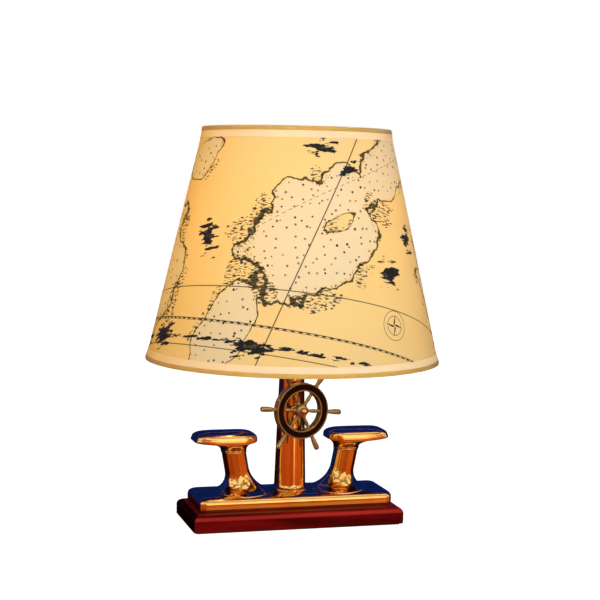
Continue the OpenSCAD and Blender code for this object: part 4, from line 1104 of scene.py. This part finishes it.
def ruled(x, y, tilt, width=1.0):
    """A straight pen line through a point of the sheet."""
    c, s = math.cos(math.radians(tilt)), math.sin(math.radians(tilt))
    return abs((sheet_x - x * mm) * s - (sheet_y - y * mm) * c) < width * mm / 2


rose_dx, rose_dy = sheet_x - 58 * mm, sheet_y + 58 * mm
rose_far = (rose_dx * rose_dx + rose_dy * rose_dy).root()
rose_way = chart.node("Math", {"operation": "ARCTAN2"}, {0: rose_dy, 1: rose_dx}) + 0.2
star = rose_far < 0.0105 * (1 - abs((rose_way * 2).sine()) ** 0.5 * 0.78)
star = star * ((rose_way * 4).sine() > 0)
rose_ring = (abs(rose_far - 0.0078) < 0.0003).most(abs(rose_far - 0.0120) < 0.00028)
tilt = math.radians(-12)
across = (sheet_y + 74 * mm) * math.cos(tilt) - (sheet_x + 30 * mm) * math.sin(tilt)
along = (sheet_x + 30 * mm) * math.cos(tilt) + (sheet_y + 74 * mm) * math.sin(tilt)
border = (abs(across - 0.011) < 0.0004).most(abs(across + 0.011) < 0.0004).most(abs(across - 0.0096) < 0.0002)
ladder = ((along * 160).part() < 0.5) * (across > 0.0099) * (across < 0.011)
quay = scrawl(120.0, 3.0) * chart.ease(abs(across + 0.0045), 0.0045, 0.001) > 0.50
course = ruled(-18, 0, 63).most(ruled(-20, -33, -9, 0.8))
dashes = ruled(-30, 34, 24, 0.5) * ((along * 210).part() < 0.55) * (coast < -0.02)
thin_ink = shore_line.most(course * 0.95).most(rose_ring * 0.9).most(border * 0.92).most(dashes * 0.9)
thick_ink = sounding.most(sand_dots * 0.7).most(names * 0.95).most(blots).most(star).most(ladder).most(quay)
worn = chart.ease(chart.noise(240, 3, 0.6), 0.25, 0.5, 0.92, 1.0)
inked = chart.shade(thin_ink * worn * 0.94, ground, (0.022, 0.018, 0.012))
inked = chart.shade(thick_ink.least(1) * worn, inked, (0.010, 0.011, 0.017))
chart.set("Base_Color", inked)
chart.set("Roughness", 0.55 + fibre * 0.2)
chart.relief(fibre * 0.6 + chart.noise(120, 3) * 0.4, 0.00006)
through = chart.node("BsdfTranslucent", inputs={"Color": (0.74, 0.57, 0.32, 1)})
let_through = 0.25 - thick_ink.least(1).most(thin_ink) * worn * 0.25
both = chart.node("MixShader", inputs={0: let_through, 1: chart.coat, 2: through})
both.plug(chart.end.inputs[0])

lining = Finish("shade_lining", Roughness=0.8)
lining_fibre = lining.noise(1200, 4, 0.7)
lining_tone = lining.shade(lining_fibre, (0.86, 0.76, 0.56), (0.95, 0.88, 0.70))
lining.set("Base_Color", lining_tone)
lining.relief(lining_fibre, 0.00008)
lining_through = lining.node("BsdfTranslucent", inputs={"Color": (0.90, 0.82, 0.62, 1)})
lining_both = lining.node("MixShader", inputs={0: 0.25, 1: lining.coat, 2: lining_through})
lining_both.plug(lining.end.inputs[0])

rows = 12
wall_line = []
for near, order in ((0.0, range(rows + 1)), (-board, range(rows, -1, -1))):
    for step in order:
        z = shade_low + (shade_high - shade_low) * step / rows
        wall_line.append(((shade_r(z) + near / lean_cos) * mm, z * mm))
shade_piece = piece("chart_shade", turn(wall_line, 256, None, True), chart, "base", ["shade_shell"], 40)
shade_piece.data.materials.append(lining.material)
shade_piece.visible_glossy = False
for face in shade_piece.data.polygons:
    centre = face.center
    if face.normal.x * centre.x + face.normal.y * centre.y < 0:
        face.material_index = 1

# Seam of the shade: the lap of the board down the back, a strip as thick as the board.
lap_deg, lap_thick = 2.6, 0.42
lap_rings = []
for step in range(rows * 2 + 1):
    z = shade_low + 9.4 + (shade_high - shade_low - 19.6) * step / (rows * 2)
    ring = []
    for near in (0.02, lap_thick):
        angles = [90 - lap_deg + 2 * lap_deg * k / 8 for k in range(9)]
        for a in (angles if near > 0.1 else angles[::-1]):
            r = (shade_r(z) + near / lean_cos) * mm
            ring.append((r * math.cos(math.radians(a)), r * math.sin(math.radians(a)), z * mm))
    lap_rings.append(ring)
piece("shade_lap_seam", loft(lap_rings), chart, "base", [], 40)

# Tapes. Cream cotton tape, glued over both edges of the shade, and a gilt edging outside it.
tape = Finish("cream_tape", Roughness=0.75)
tape_split = tape.node("SeparateXYZ", inputs={0: tape.place})
tape_round = tape.node("Math", {"operation": "ARCTAN2"}, {0: tape_split, 1: tape_split.also("Y")})
warp = (tape_round * 900).sine()
weft = (tape_split.also("Z") * 9500).sine()
weave = (warp * weft + 1) * 0.5
tape_age = tape.noise(70, 4, 0.6)
tape.set("Base_Color", tape.shade(tape_age * 0.6 + weave * 0.4, (0.84, 0.66, 0.42), (0.93, 0.80, 0.64)))
tape.relief(weave, 0.00008)
gilt = Finish("gilt_edging", Metallic=0.2)
gilt_split = gilt.node("SeparateXYZ", inputs={0: gilt.place})
gilt_round = gilt.node("Math", {"operation": "ARCTAN2"}, {0: gilt_split, 1: gilt_split.also("Y")})
twill = (gilt_round * 700 + gilt_split.also("Z") * 7000).sine()
gilt_wear = gilt.noise(90, 4, 0.6)
gilt.set("Base_Color", gilt.shade(gilt_wear * 0.7 + (twill + 1) * 0.15, (0.56, 0.34, 0.07), (0.80, 0.60, 0.22)))
gilt.set("Roughness", 0.32 + gilt_wear * 0.25)
gilt.relief(twill, 0.00006)


def edge_band(low, high, near, far, bulge):
    """A band on the slope of the shade with a softly rounded face."""
    line = []
    for step in range(9):
        t = step / 8
        z = low + (high - low) * t
        out = near + (far - near) * (0.35 + 0.65 * math.sin(math.pi * min(max(t, 0.02), 0.98)) ** bulge)
        line.append(((shade_r(z) + out / lean_cos) * mm, z * mm))
    line += [((shade_r(high) + near / lean_cos) * mm, high * mm), ((shade_r(low) + near / lean_cos) * mm, low * mm)]
    return turn(line, 256, None, True)


for name, node, low, high, near, far, bulge, finish, slot in (
        ("upper_tape", "shade_top_tape", shade_high - 9.5, shade_high, 0.03, 0.45, 0.25, tape, "tape"),
        ("lower_tape", "shade_bottom_tape", shade_low, shade_low + 8.8, 0.03, 0.45, 0.25, tape, "tape"),
        ("upper_gilt_edging", "shade_top_gilt", shade_high - 3.7, shade_high, 0.48, 0.9, 0.5, gilt, "gilt"),
        ("lower_gilt_edging", "shade_bottom_gilt", shade_low, shade_low + 3.7, 0.48, 0.9, 0.5, gilt, "gilt")):
    piece(name, edge_band(low, high, near, far, bulge), finish, "base", [node], 50)

# Frame of the shade. A pressed plate, three wire arms and two rings of wire, dipped in white lacquer.
white_lacquer = Finish("white_lacquer", Roughness=0.35, Coat_Weight=0.3)
runs = white_lacquer.noise(300, 3)
white_lacquer.set("Base_Color", white_lacquer.shade(runs, (0.68, 0.64, 0.55), (0.86, 0.83, 0.75)))
white_lacquer.relief(runs, 0.00006)
for node in ("shade_carrier", "shade_bottom_wire", "shade_top_wire"):
    clad(node, white_lacquer)
